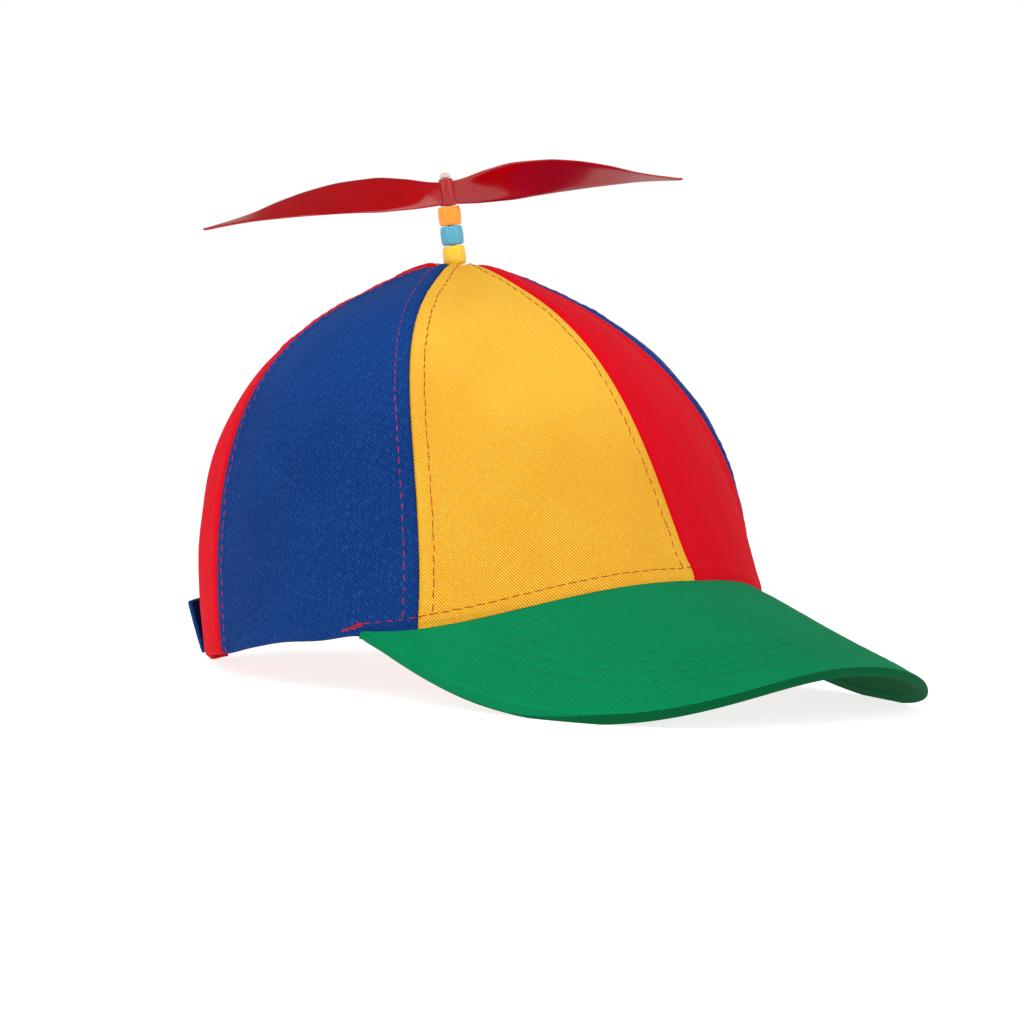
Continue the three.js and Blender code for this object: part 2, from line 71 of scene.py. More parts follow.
def unit(vectors: Points) -> Points:
    """Returns the vectors at length 1."""
    return vectors / np.maximum(np.linalg.norm(vectors, axis=-1, keepdims=True), 1e-9)


def run_length(line: Points) -> Points:
    """Returns the distance along a line of points at each of them."""
    steps = np.linalg.norm(np.diff(line, axis=0), axis=1)
    return np.concatenate([[0.0], np.cumsum(steps)])


def crowded(count: int, hold: float = 1.0) -> Points:
    """Returns shares from 0 to 1 that crowd towards both ends.

    Args:
        count: How many shares.
        hold: 1 for the most crowding, 0 for even steps.

    Returns:
        The shares, in order.
    """
    even = np.linspace(0.0, 1.0, count)
    return hold * (0.5 - 0.5 * np.cos(np.pi * even)) + (1.0 - hold) * even


def nearest(points: Points, line: Points) -> tuple[Points, Points]:
    """Returns each point's distance to a line, and how far along it the nearest place is.

    Args:
        points: Array of shape (n, 3).
        line: Array of shape (m, 3), close enough together to stand for the line.

    Returns:
        Distances and run lengths, both of shape (n,).
    """
    tree = KDTree(len(line))
    for i, place in enumerate(line):
        tree.insert(place, i)
    tree.balance()
    found = [tree.find(place) for place in points]
    length = run_length(line)
    return np.array([f[2] for f in found]), length[[f[1] for f in found]]


class Eased:
    """A smooth curve through a table's rows that doesn't overshoot and is level at its ends."""

    def __init__(self, keys: Sequence[float], values: Sequence[float]) -> None:
        """Keeps the rows and works out a slope for each."""
        self.keys = np.array(keys, float)
        self.values = np.array(values, float)
        slopes = np.diff(self.values) / np.diff(self.keys)
        self.slopes = np.zeros(len(self.keys))
        for i in range(1, len(self.keys) - 1):
            before, after = slopes[i - 1], slopes[i]
            if before * after > 0:
                self.slopes[i] = 2 * before * after / (before + after)

    def __call__(self, at: Points) -> Points:
        """Returns the curve's value at each place."""
        place = np.clip(at, self.keys[0], self.keys[-1])
        i = np.clip(np.searchsorted(self.keys, place) - 1, 0, len(self.keys) - 2)
        width = self.keys[i + 1] - self.keys[i]
        t = (place - self.keys[i]) / width
        start = self.values[i] * (1 + 2 * t) * (1 - t) ** 2 + self.slopes[i] * width * t * (1 - t) ** 2
        end = self.values[i + 1] * t * t * (3 - 2 * t) + self.slopes[i + 1] * width * t * t * (t - 1)
        return start + end


# Shader maths

class Signal:
    """One socket of a material, with arithmetic that adds Math nodes."""

    def __init__(self, board: "Board", socket: bpy.types.NodeSocket) -> None:
        """Keeps the socket and the board that it is on."""
        self.board = board
        self.socket = socket

    def math(self, operation: str, *values: Any) -> "Signal":
        """Returns the result of a Math node.

        Args:
            operation: The Math node's operation.
            values: Its inputs, signals or numbers, in order.

        Returns:
            The node's result.
        """
        inputs = dict(enumerate(values))
        return self.board.signal("ShaderNodeMath", {"operation": operation}, inputs)

    def __add__(self, other: Any) -> "Signal":
        """Returns the sum."""
        return self.math("ADD", self, other)

    def __radd__(self, other: Any) -> "Signal":
        """Returns the sum with a number on the left."""
        return self.math("ADD", other, self)

    def __sub__(self, other: Any) -> "Signal":
        """Returns the difference."""
        return self.math("SUBTRACT", self, other)

    def __rsub__(self, other: Any) -> "Signal":
        """Returns the difference from a number on the left."""
        return self.math("SUBTRACT", other, self)

    def __mul__(self, other: Any) -> "Signal":
        """Returns the product."""
        return self.math("MULTIPLY", self, other)

    def __rmul__(self, other: Any) -> "Signal":
        """Returns the product with a number on the left."""
        return self.math("MULTIPLY", other, self)

    def __truediv__(self, other: Any) -> "Signal":
        """Returns the quotient."""
        return self.math("DIVIDE", self, other)

    def wave(self) -> "Signal":
        """Returns a sine of the signal, in turns, between 0 and 1."""
        return self.math("SINE", self * math.tau) * 0.5 + 0.5

    def rise(self, low: float, high: float) -> "Signal":
        """Returns 0 below low, 1 above high and a smooth rise between."""
        settings = {"interpolation_type": "SMOOTHSTEP"}
        return self.board.signal("ShaderNodeMapRange", settings, {0: self, 1: low, 2: high})


class Board:
    """The node tree of a material or of the world."""

    def __init__(self, owner: bpy.types.Material | bpy.types.World) -> None:
        """Keeps the owner and empties its tree."""
        self.owner = owner
        owner.use_nodes = True
        self.tree = owner.node_tree
        self.tree.nodes.clear()

    @classmethod
    def of_material(cls, name: str) -> "Board":
        """Returns the board of a new material."""
        return cls(bpy.data.materials.new(name))

    def node(self, kind: str, settings: dict[str, Any] | None = None,
             inputs: dict[Any, Any] | None = None) -> bpy.types.Node:
        """Adds a node.

        Args:
            kind: The node's type.
            settings: Its own settings, which are set first.
            inputs: Values, signals or sockets for its inputs, by name or number.

        Returns:
            The node.
        """
        made = self.tree.nodes.new(kind)
        for key, value in (settings or {}).items():
            setattr(made, key, value)
        for key, value in (inputs or {}).items():
            socket = value.socket if isinstance(value, Signal) else value
            if isinstance(socket, bpy.types.NodeSocket):
                self.tree.links.new(socket, made.inputs[key])
            else:
                made.inputs[key].default_value = value
        return made

    def signal(self, kind: str, settings: dict[str, Any] | None = None,
               inputs: dict[Any, Any] | None = None, output: Any = 0) -> Signal:
        """Adds a node and returns one of its outputs as a signal."""
        return Signal(self, self.node(kind, settings, inputs).outputs[output])

    def split(self, vector: Signal) -> list[Signal]:
        """Returns a vector's three parts."""
        node = self.node("ShaderNodeSeparateXYZ", {}, {0: vector})
        return [Signal(self, node.outputs[i]) for i in range(3)]

    def join(self, *parts: Signal) -> Signal:
        """Returns a vector made of parts."""
        return self.signal("ShaderNodeCombineXYZ", {}, dict(enumerate(parts)))

    def noise(self, vector: Signal, scale: float, detail: float = 2.0) -> Signal:
        """Returns soft noise between 0 and 1."""
        inputs = {"Vector": vector, "Scale": scale, "Detail": detail}
        return self.signal("ShaderNodeTexNoise", {}, inputs)

    def blend(self, share: Any, first: Any, second: Any, how: str = "MIX") -> Signal:
        """Returns a mix of two colours."""
        node = self.node("ShaderNodeMix", {"data_type": "RGBA", "blend_type": how})
        for key, value in ((0, share), (6, first), (7, second)):
            if isinstance(value, Signal):
                self.tree.links.new(value.socket, node.inputs[key])
            else:
                node.inputs[key].default_value = value
        return Signal(self, node.outputs[2])

    def finish(self, inputs: dict[str, Any]) -> bpy.types.Material:
        """Adds the surface shader with these inputs and returns the material."""
        shader = self.node("ShaderNodeBsdfPrincipled", {}, inputs)
        self.node("ShaderNodeOutputMaterial", {}, {"Surface": shader.outputs[0]})
        return self.owner


def colour(code: str) -> tuple[float, float, float, float]:
    """Returns the linear colour of a hex code."""
    shares = [int(code[i:i + 2], 16) / 255 for i in (0, 2, 4)]
    linear = [s / 12.92 if s <= 0.04045 else ((s + 0.055) / 1.055) ** 2.4 for s in shares]
    return (*linear, 1.0)


# Finishes

@dataclass(frozen=True)
class Twill:
    """Cotton twill: slanting ribs of twisted yarn, with a little fluff and uneven dye, a painted sheen that lightens
    the upper panel, and on the bill painted shade over the rolled edge and the underside.
    """

    name: str
    base: str
    furrow: str
    crest: str
    slant: float
    pitch: float = 0.7
    relief: float = 0.16
    heather: float = 0.35
    # edge: colour of the painted shade on the bill's rolled edge and underside; empty for cloth without a rolled edge.
    edge: str = ""

    def weave(self, board: Board, across: Signal, along: Signal, fluff: Signal) -> tuple[Signal, Signal]:
        """Adds the woven pattern.

        Args:
            board: The material's board.
            across: Distance over the cloth in metres, across the panel.
            along: Distance over the cloth in metres, up the panel.
            fluff: Fine noise.

        Returns:
            The ribs and the yarns on them, both between 0 and 1.
        """
        turn = math.radians(self.slant)
        step = self.pitch * METRE
        wander = fluff * 0.35
        rib = ((across * (math.cos(turn) / step) + along * (math.sin(turn) / step)) + wander).wave()
        yarn = ((along * (math.cos(turn) / step) - across * (math.sin(turn) / step)) * 0.8 + wander).wave()
        return rib, yarn

    def material(self) -> bpy.types.Material:
        """Returns the cloth's material."""
        board = Board.of_material(self.name)
        place = board.signal("ShaderNodeTexCoord", output="UV")
        across, along = board.split(place)[:2]
        fluff = board.noise(place, 1900.0, 3.0)
        patches = board.noise(place, 26.0, 3.0)
        if self.edge:
            x, y, _ = board.split(board.signal("ShaderNodeTexCoord", output="Object"))
            rib, yarn = self.weave(board, x, y, fluff)
            far = (across * across).rise(0.086 ** 2, 0.13 ** 2)
            rolled = along.rise(-0.0024, -0.0019) * (1 - along.rise(0.0022, 0.0026))
            cord = ((across + along * 0.5) * (1 / 0.00088)).wave()
            rib = board.blend(rolled, rib, cord * (1 - far) + far * 0.6)
        else:
            rib, yarn = self.weave(board, across, along, fluff)
            # Painted sheen: over the upper part of the panel the ribs are flattened and the cloth painted lighter, as
            # from the light above.
            top_sheen = along.rise(-0.125, -0.07) * 0.75
            rib = rib * (1 - top_sheen) + top_sheen * 0.82
        turn = math.radians(self.slant)
        off_rib = across * math.cos(turn) + along * math.sin(turn)
        down_rib = along * math.cos(turn) - across * math.sin(turn)
        streak = board.noise(board.join(off_rib * 2600.0, down_rib * 420.0), 1.0, 2.0)
        body = board.blend(rib * 0.97, colour(self.furrow), colour(self.base))
        bright = board.blend(rib * yarn * 0.15 + streak.rise(0.5, 0.75) * self.heather, body, colour(self.crest))
        deep = board.blend((0.5 - streak).rise(0.0, 0.22) * self.heather, bright, colour(self.furrow))
        tone = board.blend(patches.rise(0.35, 0.7) * 0.16, deep, colour(self.furrow))
        # On the bill: painted shade, darkest in a band along the rolled edge that faces down and forward, lighter over
        # the rest of the rolled band, and a darker underside as painted shade from below.
        if self.edge:
            edge_shade_mask = (along - far * 0.0033).rise(-0.0024, -0.0019) * rolled
            under = along.rise(0.0022, 0.0026)
            shaded_edge_tone = board.blend(rib * 0.6, colour(self.edge), colour(self.furrow))
            tone = board.blend(under * 0.85 + (rolled - edge_shade_mask) * 0.3, board.blend(edge_shade_mask, tone, shaded_edge_tone), colour(self.edge))
        depth = rib * (yarn * 0.08 + 0.95) + fluff * 0.35
        bump = board.node("ShaderNodeBump", {}, {"Strength": 0.7, "Distance": self.relief * METRE, "Height": depth})
        return board.finish({
            "Base Color": tone,
            "Roughness": fluff * 0.1 + 0.82,
            "Specular IOR Level": 0.08,
            "Normal": bump.outputs[0],
        })


@dataclass(frozen=True)
class Thread:
    """Twisted sewing thread."""

    name: str
    base: str
    shade: str

    def material(self) -> bpy.types.Material:
        """Returns the thread's material."""
        board = Board.of_material(self.name)
        place = board.signal("ShaderNodeTexCoord", output="Object")
        twist = board.noise(place, 2600.0, 2.0)
        tone = board.blend(twist.rise(0.35, 0.65), colour(self.shade), colour(self.base))
        bump = board.node("ShaderNodeBump", {}, {"Strength": 0.5, "Distance": 0.0001, "Height": twist})
        return board.finish({
            "Base Color": tone,
            "Roughness": 0.6,
            "Specular IOR Level": 0.2,
            "Normal": bump.outputs[0],
        })


@dataclass(frozen=True)
class Moulded:
    """Smooth moulded plastic with faint waviness and fine scuffs."""

    name: str
    base: str
    deep: str
    rough: float = 0.2
    coat: float = 0.3
    gloss: float = 0.5
    soft: float = 0.0
    alpha: float = 1.0

    def material(self) -> bpy.types.Material:
        """Returns the plastic's material."""
        board = Board.of_material(self.name)
        place = board.signal("ShaderNodeTexCoord", output="Object")
        swirl = board.noise(place, 70.0, 3.0)
        scuff = board.noise(place, 900.0, 2.0)
        tone = board.blend(swirl.rise(0.2, 0.8), colour(self.deep), colour(self.base))
        bump = board.node("ShaderNodeBump", {}, {"Strength": 0.05, "Distance": 0.0004, "Height": swirl})
        return board.finish({
            "Base Color": tone,
            "Roughness": scuff.rise(0.4, 0.8) * 0.05 + self.rough,
            "Specular IOR Level": self.gloss,
            "Coat Weight": self.coat,
            "Coat Roughness": 0.06,
            "Subsurface Weight": self.soft,
            "Subsurface Radius": (0.003, 0.002, 0.001),
            "Alpha": self.alpha,
            "Normal": bump.outputs[0],
        })


class Finish(Enum):
    """The finishes of the cap, each with the record's slot that it takes."""

    YELLOW = ("cloth_yellow", Twill("yellow twill", "ffc83c", "c87c00", "ffe08c", -46.0, 0.86, heather=0.16))
    BLUE = ("cloth_blue", Twill("blue twill", "0c4290", "001648", "3c70b8", -28.0, 0.74, heather=0.3))
    RED = ("cloth_red", Twill("red twill", "e6001c", "c20014", "ee2434", -40.0, 0.6, heather=0.12))
    # The green's edge colour is painted shade, for the bill's rolled edge and its underside.
    GREEN = ("cloth_green", Twill("green twill", "00945e", "007244", "0cae74", 43.7, 0.62, heather=0.14,
                                  edge="00401e"))
    RED_THREAD = ("cloth_red", Thread("red thread", "c82836", "8e1420"))
    BRICK_THREAD = ("cloth_red", Thread("brick red thread", "b43c14", "802408"))
    SCARLET_THREAD = ("cloth_red", Thread("scarlet thread", "d8081e", "c00418"))
    # The bill's green thread is darker than its cloth, as painted shade in the stitch dents.
    GREEN_THREAD = ("cloth_green", Thread("green thread", "047046", "034c30"))
    BLUE_THREAD = ("cloth_blue", Thread("blue thread", "2c4f96", "16305f"))
    PROPELLER = ("red_plastic", Moulded("red gloss plastic", "a80009", "9c0007", 0.12, 0.0, 0.5))
    ORANGE = ("bead_orange", Moulded("orange bead plastic", "ff9a1e", "fa9218", 0.15, 0.0, 0.5, 0.15))
    TEAL = ("bead_blue", Moulded("light blue bead plastic", "55a8c2", "4c9fbb", 0.15, 0.0, 0.5, 0.15))
    LEMON = ("bead_yellow", Moulded("yellow bead plastic", "fccb2a", "f8c422", 0.15, 0.0, 0.5, 0.15))
    CLEAR = ("clear_plastic", Moulded("pale clear plastic", "f0d8d2", "e0c0b8", 0.15, 0.0, 0.5, 0.0, 0.75))

    @property
    def slot(self) -> str:
        """The record's material slot."""
        return self.value[0]

    @property
    def material(self) -> bpy.types.Material:
        """The finish's material, made when it is first needed."""
        made = bpy.data.materials.get(self.value[1].name)
        return made or self.value[1].material()


# Making pieces

@dataclass
class Piece:
    """A finished mesh of the scene: its name, its finish and the body that it rides on."""

    name: str
    finish: Finish
    body: str = "cap"
    stands_for: tuple[str, ...] = ()

    def place(self, mesh: bmesh.types.BMesh, flat: bool = False) -> bpy.types.Object:
        """Makes the object of a mesh in millimetres, and dresses it.

        Args:
            mesh: The mesh, which is freed.
            flat: Whether its faces are shaded flat.

        Returns:
            The object, at the origin.
        """
        bmesh.ops.scale(mesh, vec=(METRE, METRE, METRE), verts=mesh.verts)
        for face in mesh.faces:
            face.smooth = not flat
        data = bpy.data.meshes.new(self.name)
        mesh.to_mesh(data)
        mesh.free()
        made = bpy.data.objects.new(self.name, data)
        bpy.context.scene.collection.objects.link(made)
        data.materials.append(self.finish.material)
        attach(made, self.body)
        if self.stands_for:
            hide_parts(*self.stands_for)
        LOG.info("%s: %d faces", self.name, len(data.polygons))
        return made


def pour(part: bmesh.types.BMesh, mesh: bmesh.types.BMesh) -> None:
    """Turns a part's faces outwards, adds it to a mesh and frees it."""
    bmesh.ops.recalc_face_normals(part, faces=part.faces)
    held = bpy.data.meshes.new("part")
    part.to_mesh(held)
    part.free()
    mesh.from_mesh(held)
    bpy.data.meshes.remove(held)


def thicken(made: bpy.types.Object, thickness: float) -> None:
    """Gives a sheet its thickness inwards, with a modifier."""
    wall = made.modifiers.new("wall", "SOLIDIFY")
    wall.thickness = thickness * METRE
    wall.offset = -1.0
    wall.use_even_offset = False


def grid_sheet(places: Points, cloth: Points, inside: Vector) -> bmesh.types.BMesh:
    """Makes a sheet over a grid of places.

    Args:
        places: Array of shape (columns, rows, 3), in millimetres.
        cloth: Array of shape (columns, rows, 2), distances over the cloth in millimetres.
        inside: A place that the sheet's faces point away from.

    Returns:
        The mesh, with a UV map in metres.
    """
    columns, rows = places.shape[:2]
    mesh = bmesh.new()
    layer = mesh.loops.layers.uv.new("cloth")
    bmesh.ops.create_grid(mesh, x_segments=columns - 1, y_segments=rows - 1, size=1.0)
    mesh.verts.index_update()
    spots = {}
    for vertex in mesh.verts:
        i = round((vertex.co.x + 1) / 2 * (columns - 1))
        j = round((vertex.co.y + 1) / 2 * (rows - 1))
        spots[vertex.index] = (i, j)
        vertex.co = Vector(places[i, j])
    for face in mesh.faces:
        for corner in face.loops:
            i, j = spots[corner.vert.index]
            corner[layer].uv = cloth[i, j] * METRE
    mesh.normal_update()
    mesh.faces.ensure_lookup_table()
    middle = mesh.faces[len(mesh.faces) // 2]
    if middle.normal.dot(middle.calc_center_median() - inside) < 0:
        bmesh.ops.reverse_faces(mesh, faces=mesh.faces)
    return mesh


# Crown

@dataclass(frozen=True)
class Crown:
    """The outer surface of the crown, as the solids have it."""

    height: float = 146.6
    half_width: float = 96.6
    front_reach: float = 93.5
    back_reach: float = 105.8
    apex_setback: float = 25.8
    side_rim_rise: float = 15.1
    bill_half_width: float = 92.9
    bill_reach: float = 162.8
    bill_root_rise: float = 41.9
    bill_side_drop: float = 42.3
    bill_arch_power: float = 2.27
    bill_slope: float = 18.5
    bill_thickness: float = 2.5
    corner_angle: float = 72.2
    hole_radius: float = 2.3
    opening_half_angle: float = 25.0
    opening_height: float = 50.0
    top_swell: float = 1.0
    top_dip: float = 1.15
    rim_lean: Eased = Eased((0, 45, 70, 120, 140, 180), (-33.7, -11.8, 8.2, 11.1, 11.4, 2))
    rim_pull: Eased = Eased((0, 45, 70, 120, 140, 180), (0.458, 0.5, 0.583, 0.687, 0.688, 0.7))
    top_fall: Eased = Eased((0, 45, 70, 120, 140, 180), (8, 8, 8.5, 16.5, 15.5, 3.5))
    top_pull: Eased = Eased((0, 45, 70, 120, 140, 180), (0.683, 0.6, 0.69, 0.663, 0.614, 0.575))

    @property
    def setback(self) -> float:
        """How far the crown's middle lies behind the origin."""
        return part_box("bill")[0].y / METRE + self.bill_reach

    @property
    def apex(self) -> Points:
        """Top of the crown."""
        return np.array([0.0, self.apex_setback + self.setback, self.height])

    def bill_top(self, x: Points, y: Points) -> Points:
        """Returns the height of the bill's top over places in plan, from the crown's middle."""
        arch = self.bill_side_drop * (np.abs(x) / self.bill_half_width) ** self.bill_arch_power
        fall = (-y - self.front_reach) * math.tan(math.radians(self.bill_slope))
        return self.bill_root_rise - arch - fall

    def rim_plan(self, angle: Points) -> Points:
        """Returns the rim's places in plan, from the crown's middle."""
        turn = np.radians(angle)
        reach = np.where(np.cos(turn) > 0, self.front_reach, self.back_reach)
        return np.stack([-self.half_width * np.sin(turn), -reach * np.cos(turn)], -1)

    def rim_rise(self, angle: Points) -> Points:
        """Returns the rim's height at angles, on the bill in front and by the table behind."""
        away = np.abs((angle + 180) % 360 - 180)
        plan = self.rim_plan(angle)
        corner = self.rim_plan(np.array(self.corner_angle))
        lift = float(self.bill_top(corner[0], corner[1])) / self.side_rim_rise
        behind = Eased((self.corner_angle, 82, 92, 102, 112, 122, 134, 148, 180),
                       (lift, 1.13, 1, 0.77, 0.52, 0.36, 0.2, 0, 0))
        return np.where(away <= self.corner_angle, self.bill_top(plan[..., 0], plan[..., 1]),
                        self.side_rim_rise * behind(away))

    def point(self, angle: Points, share: Points) -> Points:
        """Returns places on the surface, from the rim at share 0 to the top at share 1."""
        angle, share = np.broadcast_arrays(np.asarray(angle, float), np.asarray(share, float))
        away = np.abs((angle + 180) % 360 - 180)
        out = self.rim_plan(angle) - np.array([0.0, self.apex_setback])
        radius = np.linalg.norm(out, axis=-1)
        rise = self.rim_rise(angle)
        lean = np.radians(self.rim_lean(away))
        fall = np.radians(self.top_fall(away))
        rim_hold = self.rim_pull(away) * (self.height - rise)
        top_hold = self.top_pull(away) * radius
        across = (radius, radius + rim_hold * np.sin(lean), top_hold * np.cos(fall), 0 * radius)
        up = (rise, rise + rim_hold * np.cos(lean), self.height - top_hold * np.sin(fall), self.height + 0 * rise)
        shares = ((1 - share) ** 3, 3 * share * (1 - share) ** 2, 3 * share ** 2 * (1 - share), share ** 3)
        reach = sum(a * s for a, s in zip(across, shares))
        level = sum(u * s for u, s in zip(up, shares)) + self.top_relief(reach)
        plan = out / radius[..., None] * reach[..., None]
        return np.stack([plan[..., 0], self.apex_setback + plan[..., 1] + self.setback, level], -1)

    def top_relief(self, distance: Points) -> Points:
        """Returns the low ring round the top and the dip under the beads, by distance from the middle."""
        ring = smooth(distance, 5.0, 12.0) * (1 - smooth(distance, 16.0, 36.0))
        return self.top_swell * ring - self.top_dip * (1 - smooth(distance, 5.0, 11.0))

    def turned(self, places: Points) -> Points:
        """Returns how far round from the front places lie, in the crown's own angle."""
        x = places[..., 0] / self.half_width
        y = (places[..., 1] - self.setback) / self.front_reach
        return np.abs(np.degrees(np.arctan2(x, -y)))

    def hem_row(self, places: Points) -> Points:
        """Returns how far above the foot the row that holds the bill runs, over places."""
        return Eased((52, 62, 71, 77), (7.2, 6.4, 5.0, 2.9))(self.turned(places))

    def hem_drop(self, angle: Points) -> Points:
        """Returns how far the wall runs down past the top of the bill."""
        away = np.abs((angle + 180) % 360 - 180)
        return self.bill_thickness * (1 - smooth(away, self.corner_angle, self.corner_angle + 10))

    def rising(self, angle: Points) -> Points:
        """Returns the directions in which meridians leave the rim."""
        return unit(self.point(angle, 0.01) - self.point(angle, 0.0))

    def normal(self, angle: Points, share: Points) -> Points:
        """Returns outward normals of the surface."""
        near = np.minimum(share, 0.98)
        along = self.point(angle + 0.5, near) - self.point(angle - 0.5, near)
        up = self.point(angle, near + 0.01) - self.point(angle, near - 0.01)
        normal = unit(np.cross(along, up))
        middle = np.array([0.0, self.apex_setback + self.setback, self.height / 3])
        away = np.sum(normal * (self.point(angle, near) - middle), -1, keepdims=True)
        return np.where(away < 0, -normal, normal)

    def share_where(self, angle: Points, test: Callable[[Points], Points]) -> Points:
        """Returns the shares along meridians at which a test of the place first holds."""
        low, high = np.zeros_like(angle), np.ones_like(angle)
        for _ in range(26):
            middle = (low + high) / 2
            held = test(self.point(angle, middle))
            low, high = np.where(held, low, middle), np.where(held, middle, high)
        return high

    def share_at_height(self, angle: Points, height: Points) -> Points:
        """Returns the shares at which meridians reach heights."""
        return self.share_where(angle, lambda at: at[..., 2] > height)

    def share_at_hole(self, angle: Points) -> Points:
        """Returns the shares at which meridians reach the pin hole."""
        top = self.apex
        return self.share_where(angle, lambda at: np.hypot(at[..., 0], at[..., 1] - top[1]) < self.hole_radius)

    def wall(self, angle: Points, height: Points, standoff: Points) -> Points:
        """Returns places just outside the wall, and below the rim in line with it."""
        angle, height, standoff = np.broadcast_arrays(angle * 1.0, height * 1.0, standoff * 1.0)
        rim = self.rim_rise(angle)
        share = np.where(height > rim, self.share_at_height(angle, height), 0.0)
        at = self.point(angle, share)
        rising = self.rising(angle)
        drop = np.maximum(rim - height, 0.0)
        at = at - rising * (drop / rising[..., 2])[..., None]
        normal = self.normal(angle, share)
        normal[..., 2] = 0.0
        return at + unit(normal) * standoff[..., None]


@dataclass(frozen=True)
class Seam:
    """A seam from the rim to the top: its angle at the rim, and how it bows, sways and turns."""

    angle: float
    bow: float = 0.0
    sway: float = 0.0
    turn: float = 0.0

    def at(self, share: Points) -> Points:
        """Returns the seam's angles at shares of its way up."""
        sway = self.sway * 6 * share * (1 - share) * (1 - 2 * share)
        return self.angle + self.bow * 4 * share * (1 - share) + sway + self.turn * share * share


FRONT = Seam(0, -1, 0, 4)
FRONT_RIGHT = Seam(60.3, 4, -3, 10.1)
BACK_RIGHT = Seam(115.2, 0.4, -2.5, 22)
BACK = Seam(180)
BACK_LEFT = Seam(244.8, -5.9, 7.5)
FRONT_LEFT = Seam(299.7, 2, 0, 11)
FRONT_AGAIN = Seam(360, -1, 0, 4)


@dataclass
class Line:
    """A line over the cloth, with the cloth's outward direction along it."""

    places: Points
    normals: Points

    def sampled(self, pitch: float) -> tuple[Points, Points, Points]:
        """Returns evenly spaced places on the line, with directions along and off it.

        Args:
            pitch: Distance between places.

        Returns:
            Places, directions along the line and outward normals.
        """
        length = run_length(self.places)
        count = max(2, int(length[-1] / pitch))
        at = (np.arange(count) + 0.5) * length[-1] / count
        pick = lambda values, where: np.stack([np.interp(where, length, values[:, k]) for k in range(3)], -1)
        along = unit(pick(self.places, at + 0.4) - pick(self.places, at - 0.4))
        return pick(self.places, at), along, unit(pick(self.normals, at))


@dataclass
class Stitching:
    """Rows of stitches in one thread."""

    name: str
    finish: Finish
    rows: list[Line] = field(default_factory=list)
    pitch: float = 3.9
    stitch: float = 2.9
    thread: float = 0.5
    sunk: float = 0.04
    seed: int = 5
    skew: float = 0.05

    def build(self) -> bpy.types.Object:
        """Makes every stitch as a short swollen length of thread."""
        mesh = bmesh.new()
        chance = np.random.default_rng(self.seed)
        for row in self.rows:
            part = bmesh.new()
            for at, along, off in zip(*row.sampled(self.pitch)):
                self.add(part, at, along, off, chance)
            pour(part, mesh)
        return Piece(self.name, self.finish).place(mesh)

    def add(self, part: bmesh.types.BMesh, at: Points, along: Points, off: Points,
            chance: np.random.Generator) -> None:
        """Adds one stitch.

        Args:
            part: The row's mesh.
            at: Its middle on the cloth.
            along: The row's direction.
            off: The cloth's outward direction.
            chance: Where its small unevenness comes from.
        """
        side = unit(np.cross(off, along))
        along = unit(along + side * chance.normal(0.0, self.skew))
        side = unit(np.cross(off, along))
        off = np.cross(along, side)
        at = at - off * self.sunk + side * chance.normal(0.0, 0.05)
        half = self.stitch / 2 * chance.uniform(0.9, 1.06)
        thick = self.thread / 2
        into = Matrix([[off[k] * thick, side[k] * thick, along[k] * half, at[k]] for k in range(3)]
                      + [[0, 0, 0, 1]])
        bmesh.ops.create_uvsphere(part, u_segments=6, v_segments=6, radius=1.0, matrix=into)


